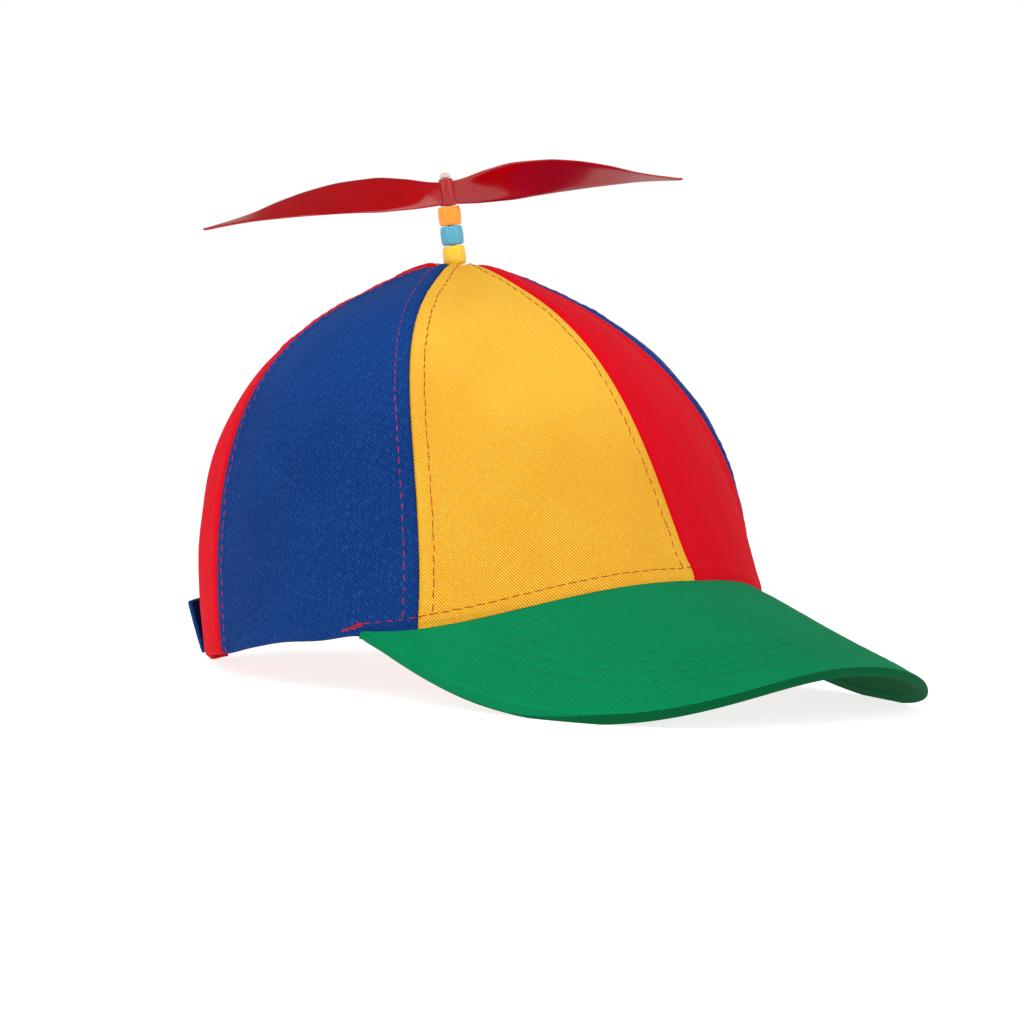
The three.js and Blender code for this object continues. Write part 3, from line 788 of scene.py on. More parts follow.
@dataclass
class Panel:
    """One cloth panel of the crown, between two seams."""

    name: str
    node: str
    start: Seam
    end: Seam
    finish: Finish
    seed: int
    crown: Crown = field(default_factory=Crown)
    columns: int = 97
    rows: int = 121
    wall: float = 1.1
    seam_dip: float = 1.25
    seam_dip_width: float = 0.62
    allowance: float = 0.5
    stitch_inset: float = 5.3
    stitch_dent: float = 0.24
    pucker: float = 0.1
    slack: float = 0.45
    dents: tuple[tuple[float, float, float, float, float], ...] = ()

    @property
    def at_back(self) -> bool:
        """Whether the panel reaches the back opening."""
        return BACK in (self.start, self.end)

    def plan(self) -> tuple[Points, Points]:
        """Returns the angle and share of every vertex, as columns of rows."""
        across = crowded(self.columns, 0.85)
        up = crowded(self.rows, 0.6)
        if not self.at_back:
            share = self.lifted(np.zeros(self.columns), self.start.at(1.0) * (1 - across) + self.end.at(1.0) * across, up)
            angle = self.start.at(share) * (1 - across[:, None]) + self.end.at(share) * across[:, None]
            return angle, share
        side = 1 if self.end is BACK else -1
        seam = self.start if side > 0 else self.end
        jamb = 180 - side * self.crown.opening_half_angle
        half = self.columns // 2
        plain = crowded(half, 0.7)
        arch = np.radians(90 * crowded(self.columns - half + 1, 0.7)[1:])
        arch_angle = 180 - side * self.crown.opening_half_angle * np.cos(arch)
        foot = self.crown.opening_height * np.sin(arch)
        first = np.concatenate([np.zeros(half), self.crown.share_at_height(arch_angle, foot)])
        tops = np.concatenate([seam.at(1.0) * (1 - plain) + jamb * plain, arch_angle])
        share = self.lifted(first, tops, up)
        near = seam.at(share[:half]) * (1 - plain[:, None]) + jamb * plain[:, None]
        far = np.repeat(arch_angle[:, None], self.rows, 1)
        return np.concatenate([near, far]), share

    def lifted(self, first: Points, top_angle: Points, up: Points) -> Points:
        """Returns the shares of every column, from its foot to the pin hole."""
        top = self.crown.share_at_hole(top_angle)
        return first[:, None] * (1 - up) + top[:, None] * up

    def edge_line(self, seam: Seam) -> Points:
        """Returns the line of a seam over the crown."""
        share = np.linspace(0, float(self.crown.share_at_hole(np.array(seam.at(1.0)))), 420)
        return self.crown.point(seam.at(share), share)

    def foot_line(self) -> Points:
        """Returns the line of the rim below the panel, out to its neighbours."""
        angle = np.linspace(self.start.angle - 4, self.end.angle + 4, 500)
        away = np.abs((angle + 180) % 360 - 180)
        drop = self.crown.hem_drop(angle) * smooth(away, self.crown.corner_angle - 0.5, self.crown.corner_angle + 1.5)
        return self.crown.point(angle, np.zeros_like(angle)) - self.crown.rising(angle) * drop[:, None]

    def arch_line(self) -> Points:
        """Returns the line of the back opening's edge."""
        turn = np.radians(np.linspace(0, 180, 260))
        angle = 180 - self.crown.opening_half_angle * np.cos(turn)
        share = self.crown.share_at_height(angle, self.crown.opening_height * np.sin(turn))
        return self.crown.point(angle, share)

    def beside(self, width: Points) -> Points:
        """Returns how far from its seam the stitching runs where the panel is that wide."""
        return 1 / (1 / self.stitch_inset ** 4 + 1 / np.maximum(0.34 * width, 0.3) ** 4) ** 0.25

    def relief(self, bare: Points, share: Points) -> Points:
        """Returns how far the cloth stands off the plain surface at every vertex."""
        flat = bare.reshape(-1, 3)
        shape = bare.shape[:2]
        top = self.crown.apex
        radius = np.hypot(bare[..., 0] - top[0], bare[..., 1] - top[1])
        lift = np.zeros(shape)
        width = np.linalg.norm(bare[0] - bare[-1], axis=-1)[None, :] + 0 * lift
        inset = self.beside(width)
        room = smooth(radius, 3.0, 12.0)
        free = np.ones(shape)
        for seam in (self.start, self.end):
            gap, run = (v.reshape(shape) for v in nearest(flat, self.edge_line(seam)))
            free = np.minimum(free, smooth(gap, 0.5, 7.0))
            lift += self.allowance * (1 - smooth(gap, inset * 0.9, inset * 1.35 + 0.6)) * room
            lift -= self.seam_dip * np.exp(-gap / self.seam_dip_width) * (0.35 + 0.65 * room)
            row = np.exp(-((gap - inset) / 0.6) ** 2)
            lift -= self.stitch_dent * row * (0.7 + 0.3 * np.cos(math.tau * run / 3.3)) * room
            tug = np.exp(-((gap - inset) / 2.6) ** 2)
            lift += self.pucker * tug * (np.sin(run / 2.1 + self.seed) + np.sin(run / 3.7 + 2 * self.seed)) * room
        gap, run = (v.reshape(shape) for v in nearest(flat, self.foot_line()))
        lift -= 1.2 * np.exp(-gap / 0.6)
        on_bill = 1 - smooth(np.abs((np.degrees(np.arctan2(-bare[..., 0], -(bare[..., 1] - self.crown.setback))))),
                             self.crown.corner_angle, self.crown.corner_angle + 9)
        hem = self.crown.hem_row(bare)
        lift += 0.45 * on_bill * (1 - smooth(gap, hem * 0.85, hem * 1.4))
        lift -= 0.3 * on_bill * np.exp(-((gap - hem) / 0.6) ** 2)
        if self.at_back:
            gap, run = (v.reshape(shape) for v in nearest(flat, self.arch_line()))
            lift -= 0.9 * np.exp(-gap / 0.6)
            lift += 0.35 * (1 - smooth(gap, 4.0, 6.0))
            lift -= 0.22 * np.exp(-((gap - 4.2) / 0.6) ** 2)
        return lift + self.folds(bare) * free

    def folds(self, bare: Points) -> Points:
        """Returns the slow unevenness of slack cloth, and the panel's own dents."""
        chance = np.random.default_rng(self.seed)
        lift = np.zeros(bare.shape[:2])
        for wave in (46.0, 31.0, 22.0, 15.0):
            way = unit(chance.normal(size=3))
            lift += self.slack * wave / 46.0 * 0.5 * np.sin(bare @ way * math.tau / wave + chance.uniform(0, 6))
        foot = smooth(bare[..., 2], 2.0, 20.0) * (1 - smooth(bare[..., 2], 110.0, 135.0))
        lift *= foot
        for x, y, z, size, depth in self.dents:
            gap = np.linalg.norm(bare - np.array([x, y, z]), axis=-1)
            lift -= depth * np.exp(-(gap / size) ** 2)
        return lift

    def surface(self) -> tuple[Points, Points, Points]:
        """Returns the cloth's places, its normals and the distances over it."""
        angle, share = self.plan()
        drop = self.crown.hem_drop(angle) * np.clip(1 - share / 0.05, 0, 1)
        bare = self.crown.point(angle, share) - self.crown.rising(angle) * drop[..., None]
        normal = self.crown.normal(angle, share)
        top = self.crown.apex
        radius = np.hypot(bare[..., 0] - top[0], bare[..., 1] - top[1])
        level = (1 - smooth(radius, 4.0, 26.0))[..., None]
        normal = unit(normal * (1 - level) + np.array([0.0, 0.0, 1.0]) * level)
        places = bare + normal * self.relief(bare, share)[..., None]
        middle = (self.start.at(share) + self.end.at(share)) / 2
        degree = np.linalg.norm(self.crown.point(angle + 0.5, share) - self.crown.point(angle - 0.5, share), axis=-1)
        steps = np.linalg.norm(np.diff(bare, axis=1), axis=-1)
        down = np.concatenate([np.cumsum(steps[:, ::-1], axis=1)[:, ::-1], np.zeros((len(bare), 1))], axis=1)
        return places, normal, np.stack([(angle - middle) * degree, -down], -1)

    def seam_row(self, seam: Seam, places: Points, normals: Points) -> Line:
        """Returns the line of stitching beside a seam, from its foot to the pin hole."""
        order = slice(None) if seam is self.start else slice(None, None, -1)
        spots, off = places[order], normals[order]
        steps = np.linalg.norm(np.diff(spots, axis=0), axis=-1)
        gap = np.concatenate([np.zeros((1, self.rows)), np.cumsum(steps, axis=0)])
        inset = self.beside(gap[-1])
        line, out = [], []
        for j in range(0, self.rows):
            line.append([np.interp(inset[j], gap[:, j], spots[:, j, k]) for k in range(3)])
            out.append([np.interp(inset[j], gap[:, j], off[:, j, k]) for k in range(3)])
        return Line(np.array(line), np.array(out))

    def foot_row(self, shift: Eased, places: Points, normals: Points,
                 keep: Callable[[Points], Points]) -> Line:
        """Returns a line of stitching above the panel's foot.

        Args:
            shift: How far above the hem's row it lies, by the angle from the front.
            places: The panel's places.
            normals: Its outward directions.
            keep: Which columns it crosses, from their feet.

        Returns:
            The line.
        """
        inset = self.crown.hem_row(places[:, 0]) + shift(self.crown.turned(places[:, 0]))
        steps = np.linalg.norm(np.diff(places, axis=1), axis=-1)
        gap = np.concatenate([np.zeros((len(places), 1)), np.cumsum(steps, axis=1)], axis=1)
        line, out = [], []
        for i in np.flatnonzero(keep(places[:, 0])):
            line.append([np.interp(inset[i], gap[i], places[i, :, k]) for k in range(3)])
            out.append([np.interp(inset[i], gap[i], normals[i, :, k]) for k in range(3)])
        return Line(np.array(line), np.array(out))

    def build(self) -> tuple[bpy.types.Object, Points, Points]:
        """Makes the panel and works out the size of its cut.

        Returns:
            The piece, and the places and normals of its cloth.
        """
        places, normals, cloth = self.surface()
        mesh = grid_sheet(places, cloth, Vector((0, self.crown.apex[1], self.crown.height / 3)))
        area = sum(f.calc_area() for f in mesh.faces) * METRE ** 2
        made = Piece(self.name, self.finish, stands_for=(self.node,)).place(mesh)
        thicken(made, self.wall)
        spread = cloth[..., 0].max() - cloth[..., 0].min()
        length = -cloth[..., 1].min()
        flat = (max(spread, area / METRE ** 2 / length) * METRE, length * METRE)
        return made, places, normals


# Bill

@dataclass
class Bill:
    """The bill: stiffened cloth with a rolled edge and rows of stitching along it."""

    crown: Crown = field(default_factory=Crown)
    columns: int = 161
    root_gap: float = 0.4
    widest_reach: float = 30.0
    side_power: float = 2.94
    front_power: float = 2.6
    corner_width: float = 1.4
    corner_taper: float = 0.62
    turn_in: float = 0.93
    stitch_insets: tuple[float, ...] = (11.4, 15.6, 19.9, 24.3)
    quilt_dent: float = 0.3
    under_inset: float = 5.0
    thickness: float = 3.0

    def edge(self, share: Points) -> Points:
        """Returns the outer edge in plan, from the left corner at -1 to the right at 1."""
        away = np.abs(share)
        corner = self.crown.rim_plan(np.array(self.crown.corner_angle)) * (1 + (0.36 + self.corner_width) / 96.6)
        turn = np.radians(90 * np.minimum(away / self.turn_in, 1.0) ** 1.5)
        wide = self.crown.bill_half_width * np.sin(turn) ** (2 / self.side_power)
        reach = self.widest_reach + (self.crown.bill_reach - self.widest_reach) * np.cos(turn) ** (2 / self.front_power)
        back = np.radians(90 * np.maximum(away - self.turn_in, 0.0) / (1 - self.turn_in))
        wide = np.where(away < self.turn_in, wide,
                        -corner[0] + (self.crown.bill_half_width + corner[0]) * np.cos(back))
        reach = np.where(away < self.turn_in, reach,
                         self.widest_reach + (-corner[1] - self.widest_reach) * np.sin(back))
        return np.stack([-wide * np.sign(share), -reach], -1)

    def depth(self, plan: Points) -> Points:
        """Returns the bill's upright depth over places in plan."""
        step = 0.5
        x, y = plan[..., 0], plan[..., 1]
        slope_x = self.crown.bill_top(x + step, y) - self.crown.bill_top(x - step, y)
        slope_y = self.crown.bill_top(x, y + step) - self.crown.bill_top(x, y - step)
        return self.thickness * np.sqrt(slope_x ** 2 + slope_y ** 2 + 1)

    def section(self) -> tuple[Points, Points]:
        """Returns the rows round a cut through the bill.

        Returns:
            How far each row lies inwards from the edge, as a share of the way to the root with
            the rounded edge's part counted in thicknesses, and its side: 1 top to -1 underside.
        """
        inner = 1 - crowded(46, 0.5)[:-1]
        turn = np.linspace(90, -90, 13)
        inset = np.concatenate([inner, 0 * turn, inner[::-1]])
        side = np.concatenate([np.full(len(inner), 90.0), turn, np.full(len(inner), -90.0)])
        return inset, side

    def surface(self) -> tuple[Points, Points, Points]:
        """Returns the bill's places from its root over the edge and back, and distances over it."""
        even = np.linspace(-1, 1, self.columns)
        share = np.sign(even) * np.abs(even) ** 0.94
        share[len(share) // 2] = 1e-4
        edge = self.edge(share)
        angle = self.crown.corner_angle * share
        root = self.crown.rim_plan(angle)
        out = unit(root)
        root = root + out * self.root_gap
        inset, side = self.section()
        half = self.thickness / 2
        taper = 1 - self.corner_taper * smooth(np.abs(share), 0.8, 1.0)
        length = np.linalg.norm(edge - root, axis=-1)
        start = np.minimum(half * taper, length * 0.45)
        towards = (root - edge) / length[:, None]
        turn = np.radians(side)[None, :]
        plain = start[:, None] + (length - start)[:, None] * inset[None, :]
        rounded = start[:, None] * (1 - np.cos(turn))
        gap = np.where(np.abs(side)[None, :] < 89.9, rounded, plain)
        plan = edge[:, None, :] + towards[:, None, :] * gap[..., None]
        depth = self.depth(plan) * taper[:, None]
        middle = self.crown.bill_top(plan[..., 0], plan[..., 1]) - depth / 2
        level = middle + depth / 2 * np.sin(turn) + self.quilting(plan, side)
        places = np.stack([plan[..., 0], plan[..., 1] + self.crown.setback, np.maximum(level, 0.05)], -1)
        steps = np.linalg.norm(np.diff(places, axis=1), axis=-1)
        down = np.concatenate([np.zeros((len(places), 1)), np.cumsum(steps, axis=1)], axis=1)
        edge_at = (down * (np.abs(side) < 1)[None, :]).max(axis=1)
        outline = np.stack([edge[:, 0], edge[:, 1], self.crown.bill_top(edge[:, 0], edge[:, 1])], -1)
        along = run_length(outline)
        along = along - along[len(along) // 2]
        cloth = np.stack([along[:, None] + 0 * down, down - edge_at[:, None]], -1)
        return places, cloth, gap

    def inset_of(self, plan: Points) -> Points:
        """Returns the distance in plan from the outer edge."""
        share = np.linspace(-1, 1, 1600)
        edge = self.edge(share)
        flat = np.concatenate([plan.reshape(-1, 2), np.zeros((plan[..., 0].size, 1))], axis=1)
        gap, _ = nearest(flat, np.concatenate([edge, np.zeros((len(edge), 1))], axis=1))
        return gap.reshape(plan.shape[:-1])

    def quilting(self, plan: Points, side: Points) -> Points:
        """Returns how far the stitching draws the cloth in, on the top and the underside."""
        gap = self.inset_of(plan)
        lift = np.zeros(gap.shape)
        fade = smooth(np.hypot(plan[..., 0], plan[..., 1]) - 95, 3.0, 8.0)
        for inset in self.stitch_insets:
            lift -= self.quilt_dent * np.exp(-((gap - inset) / 0.7) ** 2) * fade
        top = (side > 89)[None, :]
        under = (side < -89)[None, :]
        ridge = 0.35 * np.exp(-((gap - self.under_inset + 1.2) / 0.9) ** 2)
        ridge -= 0.45 * np.exp(-((gap - self.under_inset) / 0.5) ** 2)
        chance = np.random.default_rng(31)
        for wave in (52.0, 33.0, 21.0):
            way = unit(chance.normal(size=2))
            slow = 0.16 * wave / 52.0 * np.sin(plan @ way * math.tau / wave + chance.uniform(0, 6))
            lift += slow * smooth(gap, 2.0, 12.0) * fade
        return lift * top + (lift - ridge) * under

    def rows(self, places: Points, gap_row: Points) -> list[Line]:
        """Returns the rows of stitching on the top.

        Args:
            places: The bill's places.
            gap_row: Distances in plan of the same places from the outer edge.

        Returns:
            One line for each row.
        """
        inset, side = self.section()
        top = int(np.flatnonzero(side < 89)[0])
        found = []
        flow = unit(np.cross(np.gradient(places, axis=0), np.gradient(places, axis=1)))
        flow = np.where(flow[..., 2:3] < 0, -flow, flow)
        for want in self.stitch_insets:
            line, out = [], []
            for i in range(len(places)):
                gap = gap_row[i, :top][::-1]
                if gap.max() < want + 3.0:
                    continue
                spots, off = places[i, :top][::-1], flow[i, :top][::-1]
                line.append([np.interp(want, gap, spots[:, k]) for k in range(3)])
                out.append([np.interp(want, gap, off[:, k]) for k in range(3)])
            found.append(Line(np.array(line), np.array(out)))
        return found

    def build(self) -> list[Line]:
        """Makes the bill.

        Returns:
            The lines of its stitching.
        """
        places, cloth, _ = self.surface()
        mesh = grid_sheet(places, cloth, Vector((0, 0, -400)))
        self.close(mesh)
        Piece("bill_cloth", Finish.GREEN, stands_for=("bill",)).place(mesh)
        gap_row = self.inset_of(places[..., :2] - np.array([0.0, self.crown.setback]))
        return self.rows(places, gap_row)

    @staticmethod
    def close(mesh: bmesh.types.BMesh) -> None:
        """Closes the root and the two corners between the top and the underside."""
        bmesh.ops.holes_fill(mesh, edges=[e for e in mesh.edges if e.is_boundary], sides=0)
        bmesh.ops.triangulate(mesh, faces=[f for f in mesh.faces if len(f.verts) > 4])
        bmesh.ops.recalc_face_normals(mesh, faces=mesh.faces)


# Straps

@dataclass
class Strap:
    """One of the two straps that close the back, with a row of stitching round its border."""

    name: str
    node: str
    angles: tuple[float, ...]
    standoffs: tuple[float, ...]
    flares: tuple[float, ...]
    rises: tuple[float, ...]
    crown: Crown = field(default_factory=Crown)
    columns: int = 121
    rows: int = 21
    height: float = 18.5
    thickness: float = 1.4
    middle_rise: float = 7.0
    flare_top: float = 3.2
    flare_bottom: float = 0.0
    border: float = 2.6

    def surface(self) -> tuple[Points, Points]:
        """Returns the outer face's places and the distances over it."""
        angle = np.linspace(self.angles[0], self.angles[-1], self.columns)
        up = crowded(self.rows, 0.5)
        standoff = Eased(self.angles, self.standoffs)(angle)
        flare = Eased(self.angles, self.flares)(angle)
        rise = self.middle_rise * Eased(self.angles, self.rises)(angle)
        spread = flare[:, None] * (self.flare_bottom * (1 - up) + self.flare_top * up)
        height = rise[:, None] + self.height * up[None, :]
        places = self.crown.wall(np.repeat(angle[:, None], self.rows, 1), height, standoff[:, None] + spread)
        along = run_length(places[:, self.rows // 2])
        cloth = np.stack(np.broadcast_arrays(along[:, None], self.height * up[None, :]), -1)
        edge = np.minimum(np.minimum(along, along[-1] - along)[:, None],
                          self.height * np.minimum(up, 1 - up)[None, :])
        lift = -0.45 * np.exp(-edge / 0.35) - 0.18 * np.exp(-((edge - self.border) / 0.5) ** 2)
        off = unit(np.cross(np.gradient(places, axis=0), np.gradient(places, axis=1)))
        out = places - np.array([0.0, self.crown.apex[1], 0.0])
        off = np.where(np.sum(off * out, -1, keepdims=True) < 0, -off, off)
        return places + off * lift[..., None], cloth

    def build(self) -> list[Line]:
        """Makes the strap.

        Returns:
            The lines of its stitching.
        """
        places, cloth = self.surface()
        mesh = grid_sheet(places, cloth, Vector((0, self.crown.apex[1], self.height / 2)))
        made = Piece(self.name, Finish.BLUE, stands_for=(self.node,)).place(mesh)
        thicken(made, self.thickness)
        cloth[..., 0].max() * METRE
        off = unit(np.cross(np.gradient(places, axis=0), np.gradient(places, axis=1)))
        out = places - np.array([0.0, self.crown.apex[1], 0.0])
        off = np.where(np.sum(off * out, -1, keepdims=True) < 0, -off, off)
        up = cloth[0, :, 1]
        lines = []
        for height in (self.border, self.height - self.border):
            j = int(np.abs(up - height).argmin())
            keep = slice(2, -2)
            lines.append(Line(places[keep, j], off[keep, j]))
        end = int(np.abs(cloth[:, 0, 0] - self.border).argmin())
        for i in (end, -end - 1):
            keep = slice(2, -2)
            lines.append(Line(places[i, keep], off[i, keep]))
        return lines


# Pin, beads and propeller

@dataclass
class Stack:
    """The beads, the propeller and the cap over them, on the leaning pin."""

    crown: Crown = field(default_factory=Crown)
    lean: float = 9.2
    lean_toward: float = 136.0
    lift: float = -1.0
    gap: float = 0.3
    bore: float = 1.4
    bead_radius: float = 4.15
    bead_height: float = 6.75
    bead_face: float = 0.82
    hub_height: float = 10.0
    hub_bottom: float = 3.0
    hub_top: float = 2.6
    cap_radius: float = 2.0
    cap_height: float = 1.9
    cap_skirt: float = 1.2
    span: float = 181.0
    blade_depth: float = 13.0
    blade_thickness: float = 1.1
    blade_direction: float = -28.0
    camber: float = 0.05
    upper: Eased = Eased((0, .05, .16, .28, .4, .52, .66, .8, .92, 1),
                         (.26, .29, .47, .59, .57, .46, .24, -.05, -.23, -.32))
    lower: Eased = Eased((0, .05, .16, .28, .4, .52, .66, .8, .92, 1),
                         (-.36, -.38, -.41, -.41, -.36, -.32, -.29, -.28, -.32, -.36))
    sweep: Eased = Eased((0, .05, .16, .28, .4, .52, .66, .8, .92, 1),
                         (.05, .08, .25, .4, .5, .52, .44, .3, .13, .03))

    @property
    def onto_pin(self) -> Matrix:
        """The move from a piece made upright at the origin to its place on the pin."""
        toward = math.radians(self.lean_toward)
        plan = Vector((-math.sin(toward), -math.cos(toward), 0))
        axis = Vector((0, 0, math.cos(math.radians(self.lean)))) + plan * math.sin(math.radians(self.lean))
        turn = Vector((0, 0, 1)).rotation_difference(axis).to_matrix().to_4x4()
        return Matrix.Translation(Vector(self.crown.apex) + Vector((0, 0, self.lift))) @ turn

    @property
    def hub_base(self) -> float:
        """Height of the propeller's foot over the foot of the stack."""
        return 3 * (self.bead_height + self.gap)

    def turned(self, profile: Iterable[tuple[float, float]], steps: int = 72) -> bmesh.types.BMesh:
        """Spins a closed profile into a ring.

        Args:
            profile: Pairs of radius and height, in order.
            steps: How many steps make the turn.

        Returns:
            The mesh, upright at the origin.
        """
        mesh = bmesh.new()
        corners = [mesh.verts.new((radius, 0, height)) for radius, height in profile]
        edges = [mesh.edges.new(pair) for pair in zip(corners, corners[1:])]
        bmesh.ops.spin(mesh, geom=corners + edges, cent=(0, 0, 0), axis=(0, 0, 1), dvec=(0, 0, 0),
                       angle=math.tau, steps=steps, use_merge=True)
        bmesh.ops.remove_doubles(mesh, verts=mesh.verts, dist=1e-4)
        bmesh.ops.recalc_face_normals(mesh, faces=mesh.faces)
        return mesh

    def bead(self, place: int, name: str, node: str, finish: Finish) -> None:
        """Makes one barrel bead with rounded shoulders and a bore.

        Args:
            place: Its place in the stack, from the bottom.
            name: The piece's name.
            node: The solid that it stands for.
            finish: Its finish.
        """
        base = place * (self.bead_height + self.gap) + self.gap
        turns = np.linspace(-math.pi / 2, math.pi / 2, 25)
        side = [(self.bead_radius * (self.bead_face + (1 - self.bead_face) * math.cos(t) ** 0.8),
                 base + self.bead_height * (0.5 + 0.5 * math.sin(t))) for t in turns]
        lip = 0.35
        profile = [(self.bore, base + lip), (self.bore + lip * 0.4, base), *side,
                   (self.bore + lip * 0.4, base + self.bead_height), (self.bore, base + self.bead_height - lip),
                   (self.bore, base + lip)]
        mesh = self.turned(profile)
        bmesh.ops.transform(mesh, matrix=self.onto_pin, verts=mesh.verts)
        Piece(name, finish, stands_for=(node,)).place(mesh)

    def dome(self) -> None:
        """Makes the small clear cap on the end of the pin."""
        base = self.hub_base + self.hub_height + self.gap
        turns = np.linspace(0.0, math.pi / 2, 13)
        rise = self.cap_height - self.cap_skirt / 2
        side = [(self.cap_radius * math.cos(t), base + self.cap_skirt / 2 + rise * math.sin(t)) for t in turns]
        profile = [(0.0, base + self.cap_height / 2), (self.bore, base + self.cap_height / 2), (self.bore, base),
                   (self.cap_radius * 0.96, base), *side[:-1], (0.0, base + self.cap_height)]
        mesh = self.turned(profile, 48)
        bmesh.ops.transform(mesh, matrix=self.onto_pin, verts=mesh.verts)
        Piece("pin_dome", Finish.CLEAR, stands_for=("pin_cap",)).place(mesh)

    def middle_surface(self, reach: Points, height: Points) -> Points:
        """Returns places on the middle of a blade that runs along +X."""
        upper = self.upper(reach) * self.blade_depth
        lower = self.lower(reach) * self.blade_depth
        sweep = self.sweep(reach) * self.blade_depth
        bulge = self.camber * (upper - lower) * 4 * height * (1 - height)
        return np.stack([reach * self.span / 2 + 0 * height, sweep * (1 - 2 * height) + bulge,
                         lower * (1 - height) + upper * height + self.hub_base + self.hub_height * 0.55], -1)

    def blade(self, mesh: bmesh.types.BMesh, turn: float) -> None:
        """Adds one twisted blade to the propeller.

        Args:
            mesh: The propeller's mesh.
            turn: The blade's direction round the hub.
        """
        stations, rows = 97, 15
        part = bmesh.new()
        bmesh.ops.create_grid(part, x_segments=stations - 1, y_segments=2 * rows, size=1.0)
        reach = 0.012 + 0.986 * np.linspace(0, 1, stations) ** 0.92
        height = 0.5 - 0.5 * np.cos(np.linspace(0, math.tau, 2 * rows + 1))
        face = np.sign(np.sin(np.linspace(0, math.tau, 2 * rows + 1)))
        face[[0, rows, 2 * rows]] = 0
        u, v = np.meshgrid(reach, height, indexing="ij")
        step = 0.004
        middle = self.middle_surface(u, v)
        along = self.middle_surface(np.clip(u + step, 0, 1), v) - self.middle_surface(np.clip(u - step, 0, 1), v)
        across = self.middle_surface(u, v + step) - self.middle_surface(u, v - step)
        off = unit(np.cross(along, across))
        full = (1 - np.abs(2 * v - 1) ** 8) ** 0.5 * (1 - 0.45 * u)
        places = middle + off * (face[None, :] * full * self.blade_thickness / 2)[..., None]
        for vertex in part.verts:
            i = round((vertex.co.x + 1) / 2 * (stations - 1))
            j = round((vertex.co.y + 1) / 2 * (2 * rows))
            vertex.co = Vector(places[i, j])
        bmesh.ops.remove_doubles(part, verts=part.verts, dist=1e-4)
        bmesh.ops.holes_fill(part, edges=[e for e in part.edges if e.is_boundary], sides=0)
        bmesh.ops.rotate(part, cent=(0, 0, 0), matrix=Matrix.Rotation(math.radians(turn), 3, "Z"), verts=part.verts)
        pour(part, mesh)

    def propeller(self) -> None:
        """Makes the hub with its two blades, which spin on the pin."""
        base = self.hub_base + self.gap
        top = self.hub_base + self.hub_height
        lip = 0.45
        mesh = self.turned([
            (self.bore, base), (self.hub_bottom - lip, base), (self.hub_bottom - lip * 0.3, base + lip * 0.3),
            (self.hub_bottom, base + lip), (self.hub_top, top - lip), (self.hub_top - lip * 0.3, top - lip * 0.3),
            (self.hub_top - lip, top), (self.bore, top), (self.bore, base),
        ])
        for turn in (0.0, 180.0):
            self.blade(mesh, turn + self.blade_direction)
        bmesh.ops.transform(mesh, matrix=self.onto_pin, verts=mesh.verts)
        Piece("propeller_blades", Finish.PROPELLER, "propeller", ("propeller",)).place(mesh)

    def build(self) -> None:
        """Makes the whole stack."""
        self.bead(0, "bead_lower", "bead_yellow", Finish.LEMON)
        self.bead(1, "bead_middle", "bead_blue", Finish.TEAL)
        self.bead(2, "bead_upper", "bead_orange", Finish.ORANGE)
        self.dome()
        self.propeller()
        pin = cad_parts["pin"]
        pin.data.materials.clear()
        pin.data.materials.append(Finish.CLEAR.material)


# Studio

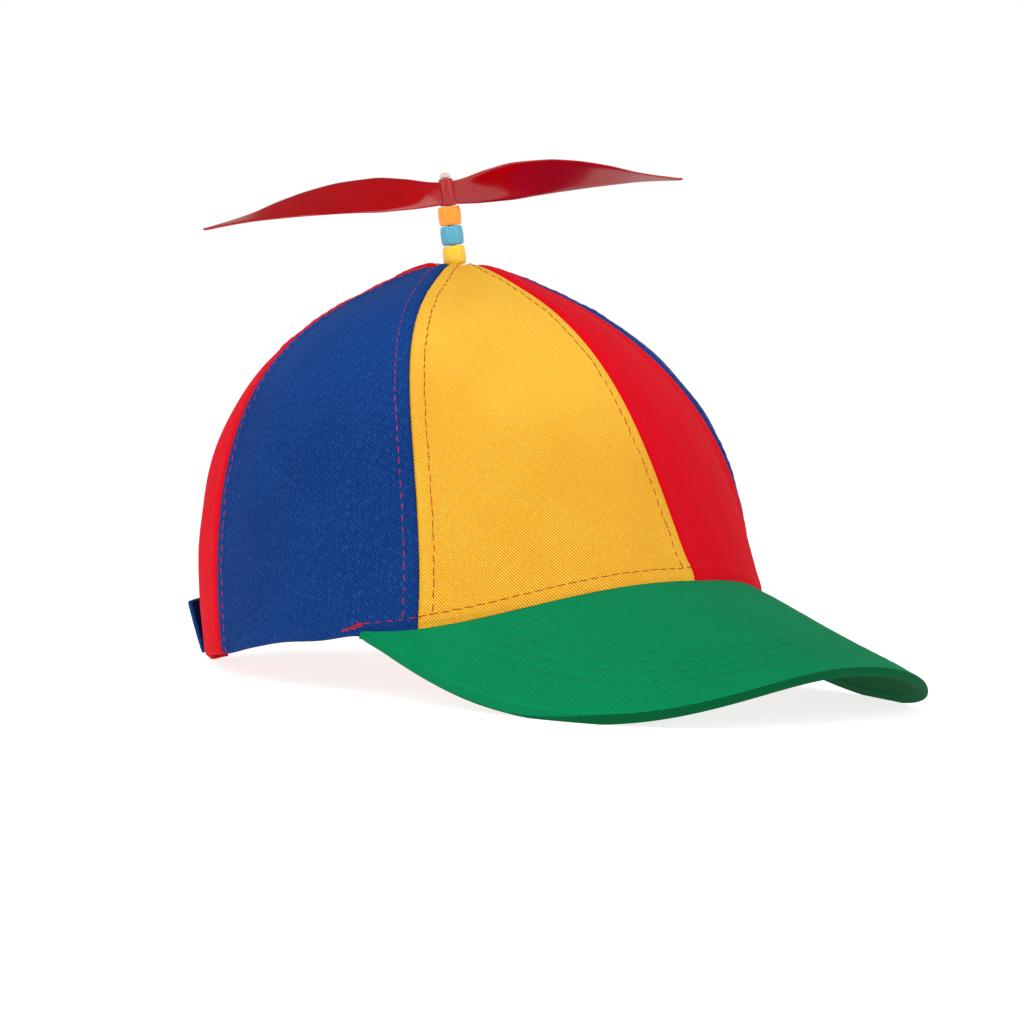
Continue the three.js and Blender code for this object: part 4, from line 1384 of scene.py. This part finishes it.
@dataclass
class Studio:
    """The camera at the photograph's angle, soft lights and a pale floor."""

    target: tuple[float, float, float] = (0.0, 0.0275, 0.07)
    azimuth: float = -46.3
    elevation: float = 2.2
    roll: float = 2.44
    distance: float = 1.239
    focal_pixels: float = 3503.0
    image: float = 1024.0
    sensor: float = 36.0
    target_pixel: tuple[float, float] = (498.57, 480.44)
    ceiling: float = 0.15
    floor_glow: float = 0.8

    def camera(self) -> None:
        """Makes the camera and sets the scene to use it."""
        a, e, r = (math.radians(v) for v in (self.azimuth, self.elevation, self.roll))
        back = Vector((math.sin(a) * math.cos(e), -math.cos(a) * math.cos(e), math.sin(e)))
        right = Vector((math.cos(a), math.sin(a), 0))
        up = back.cross(right)
        across = right * math.cos(r) + up * math.sin(r)
        rise = up * math.cos(r) - right * math.sin(r)
        data = bpy.data.cameras.new("camera")
        data.sensor_width = self.sensor
        data.lens = self.focal_pixels / self.image * self.sensor
        data.shift_x = (self.image / 2 - self.target_pixel[0]) / self.image
        data.shift_y = (self.target_pixel[1] - self.image / 2) / self.image
        data.clip_end = 50
        made = bpy.data.objects.new("camera", data)
        turn = Matrix((across, rise, back)).transposed().to_4x4()
        made.matrix_world = Matrix.Translation(Vector(self.target) + back * self.distance) @ turn
        bpy.context.scene.collection.objects.link(made)
        bpy.context.scene.camera = made

    def light(self, name: str, azimuth: float, elevation: float, distance: float,
              size: tuple[float, float], power: float) -> None:
        """Adds a soft light that faces the cap.

        Args:
            name: Its name.
            azimuth: Its direction from the cap, as the camera's.
            elevation: Its direction's rise.
            distance: Its distance in metres.
            size: Its width and height in metres.
            power: Its power in watts.
        """
        data = bpy.data.lights.new(name, "AREA")
        data.shape = "RECTANGLE"
        data.size, data.size_y = size
        data.energy = power
        a, e = math.radians(azimuth), math.radians(elevation)
        back = Vector((math.sin(a) * math.cos(e), -math.cos(a) * math.cos(e), math.sin(e)))
        made = bpy.data.objects.new(name, data)
        made.location = Vector(self.target) + back * distance
        made.rotation_mode = "QUATERNION"
        made.rotation_quaternion = back.to_track_quat("Z", "Y")
        bpy.context.scene.collection.objects.link(made)

    def world(self) -> bpy.types.World:
        """Returns the pale studio round the cap, darker overhead."""
        board = Board(bpy.data.worlds.new("studio"))
        height = board.split(board.signal("ShaderNodeTexCoord"))[2]
        bright = 1 - height.rise(0.46, 0.74) * (1 - self.ceiling)
        shade = board.node("ShaderNodeBackground", {}, {"Color": (1, 1, 1, 1), "Strength": bright})
        board.node("ShaderNodeOutputWorld", {}, {"Surface": shade.outputs[0]})
        return board.owner

    def floor(self) -> None:
        """Makes the pale floor."""
        mesh = bmesh.new()
        bmesh.ops.create_grid(mesh, x_segments=1, y_segments=1, size=30.0)
        data = bpy.data.meshes.new("floor")
        mesh.to_mesh(data)
        mesh.free()
        made = bpy.data.objects.new("floor", data)
        board = Board.of_material("pale floor")
        data.materials.append(board.finish({
            "Base Color": (0.55, 0.55, 0.55, 1), "Roughness": 1.0, "Specular IOR Level": 0.0,
            "Emission Color": (1, 1, 1, 1), "Emission Strength": self.floor_glow,
        }))
        bpy.context.scene.collection.objects.link(made)

    def build(self) -> None:
        """Makes the camera, the lights, the world and the floor."""
        scene = bpy.context.scene
        scene.view_settings.view_transform = "Standard"
        scene.view_settings.look = "None"
        scene.world = self.world()
        self.camera()
        self.light("left_strip", -98.0, 24.0, 1.5, (0.42, 1.25), 2.6)
        self.light("right_strip", 6.0, 24.0, 1.5, (0.42, 1.25), 2.8)
        self.light("key", -118.0, 58.0, 1.8, (1.1, 1.1), 3.5)
        self.light("front", -50.0, 50.0, 2.0, (1.0, 1.0), 14.5)
        self.floor()


# The whole cap

@dataclass
class PropellerCap:
    """All the pieces of the cap, built in order."""

    crown: Crown = field(default_factory=Crown)
    hem_end: float = 77.2
    tack: float = 5.4

    def panels(self) -> list[Panel]:
        """Returns the six panels in order round the crown."""
        return [
            Panel("cloth_front_right", "panel_front_right", FRONT, FRONT_RIGHT, Finish.YELLOW, 11),
            Panel("cloth_side_right", "panel_side_right", FRONT_RIGHT, BACK_RIGHT, Finish.BLUE, 12,
                  dents=((-91.5, -3.0, 60.4, 8.0, 0.8), (-90.2, -8.9, 45.7, 8.0, 0.7),
                         (-94.8, 3.4, 51.4, 9.0, 0.6), (-88.2, -8.0, 63.7, 7.0, 0.5))),
            Panel("cloth_back_right", "panel_back_right", BACK_RIGHT, BACK, Finish.RED, 13),
            Panel("cloth_back_left", "panel_back_left", BACK, BACK_LEFT, Finish.YELLOW, 14),
            Panel("cloth_side_left", "panel_side_left", BACK_LEFT, FRONT_LEFT, Finish.BLUE, 15),
            Panel("cloth_front_left", "panel_front_left", FRONT_LEFT, FRONT_AGAIN, Finish.RED, 16),
        ]

    def sew_crown(self) -> None:
        """Makes the panels and the red stitching over them."""
        rows = {finish: [] for finish in (Finish.YELLOW, Finish.BLUE, Finish.RED)}
        tacks = []
        for panel in self.panels():
            _, places, normals = panel.build()
            on_bill = lambda foot: self.crown.turned(foot) < self.hem_end
            for seam in (panel.start, panel.end):
                line = panel.seam_row(seam, places, normals)
                keep = np.hypot(line.places[:, 0], line.places[:, 1] - self.crown.apex[1]) > 4.5
                if on_bill(line.places[0]):
                    keep &= run_length(line.places) > self.crown.hem_row(line.places[0]) - 0.6
                rows[panel.finish].append(Line(line.places[keep], line.normals[keep]))
            if on_bill(places[:, 0]).sum() > 3:
                rows[panel.finish].append(panel.foot_row(Eased((0, 90), (0, 0)), places, normals, on_bill))
            on_tack = lambda foot: on_bill(foot) & (self.crown.turned(foot) > self.hem_end - self.tack)
            if on_tack(places[:, 0]).sum() > 3:
                turns = np.linspace(self.hem_end - self.tack, self.hem_end, 4)
                for lean in (-1.0, -0.45, 0.45, 1.0):
                    shift = Eased(tuple(turns), (0.3 * lean, 0.9 * lean, -0.6 * lean, 0.4 * lean))
                    tacks.append(panel.foot_row(shift, places, normals, on_tack))
        Stitching("stitching_on_blue", Finish.RED_THREAD, rows[Finish.BLUE], stitch=2.7, thread=0.44).build()
        Stitching("stitching_on_yellow", Finish.BRICK_THREAD, rows[Finish.YELLOW], stitch=3.7, thread=0.4).build()
        Stitching("stitching_on_red", Finish.SCARLET_THREAD, rows[Finish.RED], stitch=3.2, thread=0.4).build()
        Stitching("hem_tacks", Finish.RED_THREAD, tacks, 3.0, 2.9, 0.38, 0.0, 9, 0.1).build()

    def build(self) -> None:
        """Makes every piece."""
        self.sew_crown()
        Stitching("bill_stitching", Finish.GREEN_THREAD, Bill().build(), 3.2, 2.3, 0.4, 0.04, 7).build()
        outer = Strap("strap_over", "strap_outer", (141, 150, 160, 184, 198, 213),
                      (1.76, 1.76, 1.76, 1.76, -2.8, -2.8), (1, .12, 0, 0, 0, 0), (.42, .6, .8, 1, .8, .6))
        inner = Strap("strap_under", "strap_inner", (147, 162, 172, 183), (-2.8, -2.8, 0, 0),
                      (0, 0, 0, 0), (.6, .8, 1, 1))
        Stitching("strap_stitching", Finish.BLUE_THREAD, outer.build() + inner.build(), 3.0, 2.2, 0.4, 0.04, 8).build()
        Stack().build()


def main() -> None:
    """Builds the cap in its studio."""
    logging.basicConfig(level=logging.INFO, format="%(message)s")
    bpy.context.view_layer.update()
    Studio().build()
    PropellerCap().build()


if __name__ == "__main__":
    main()
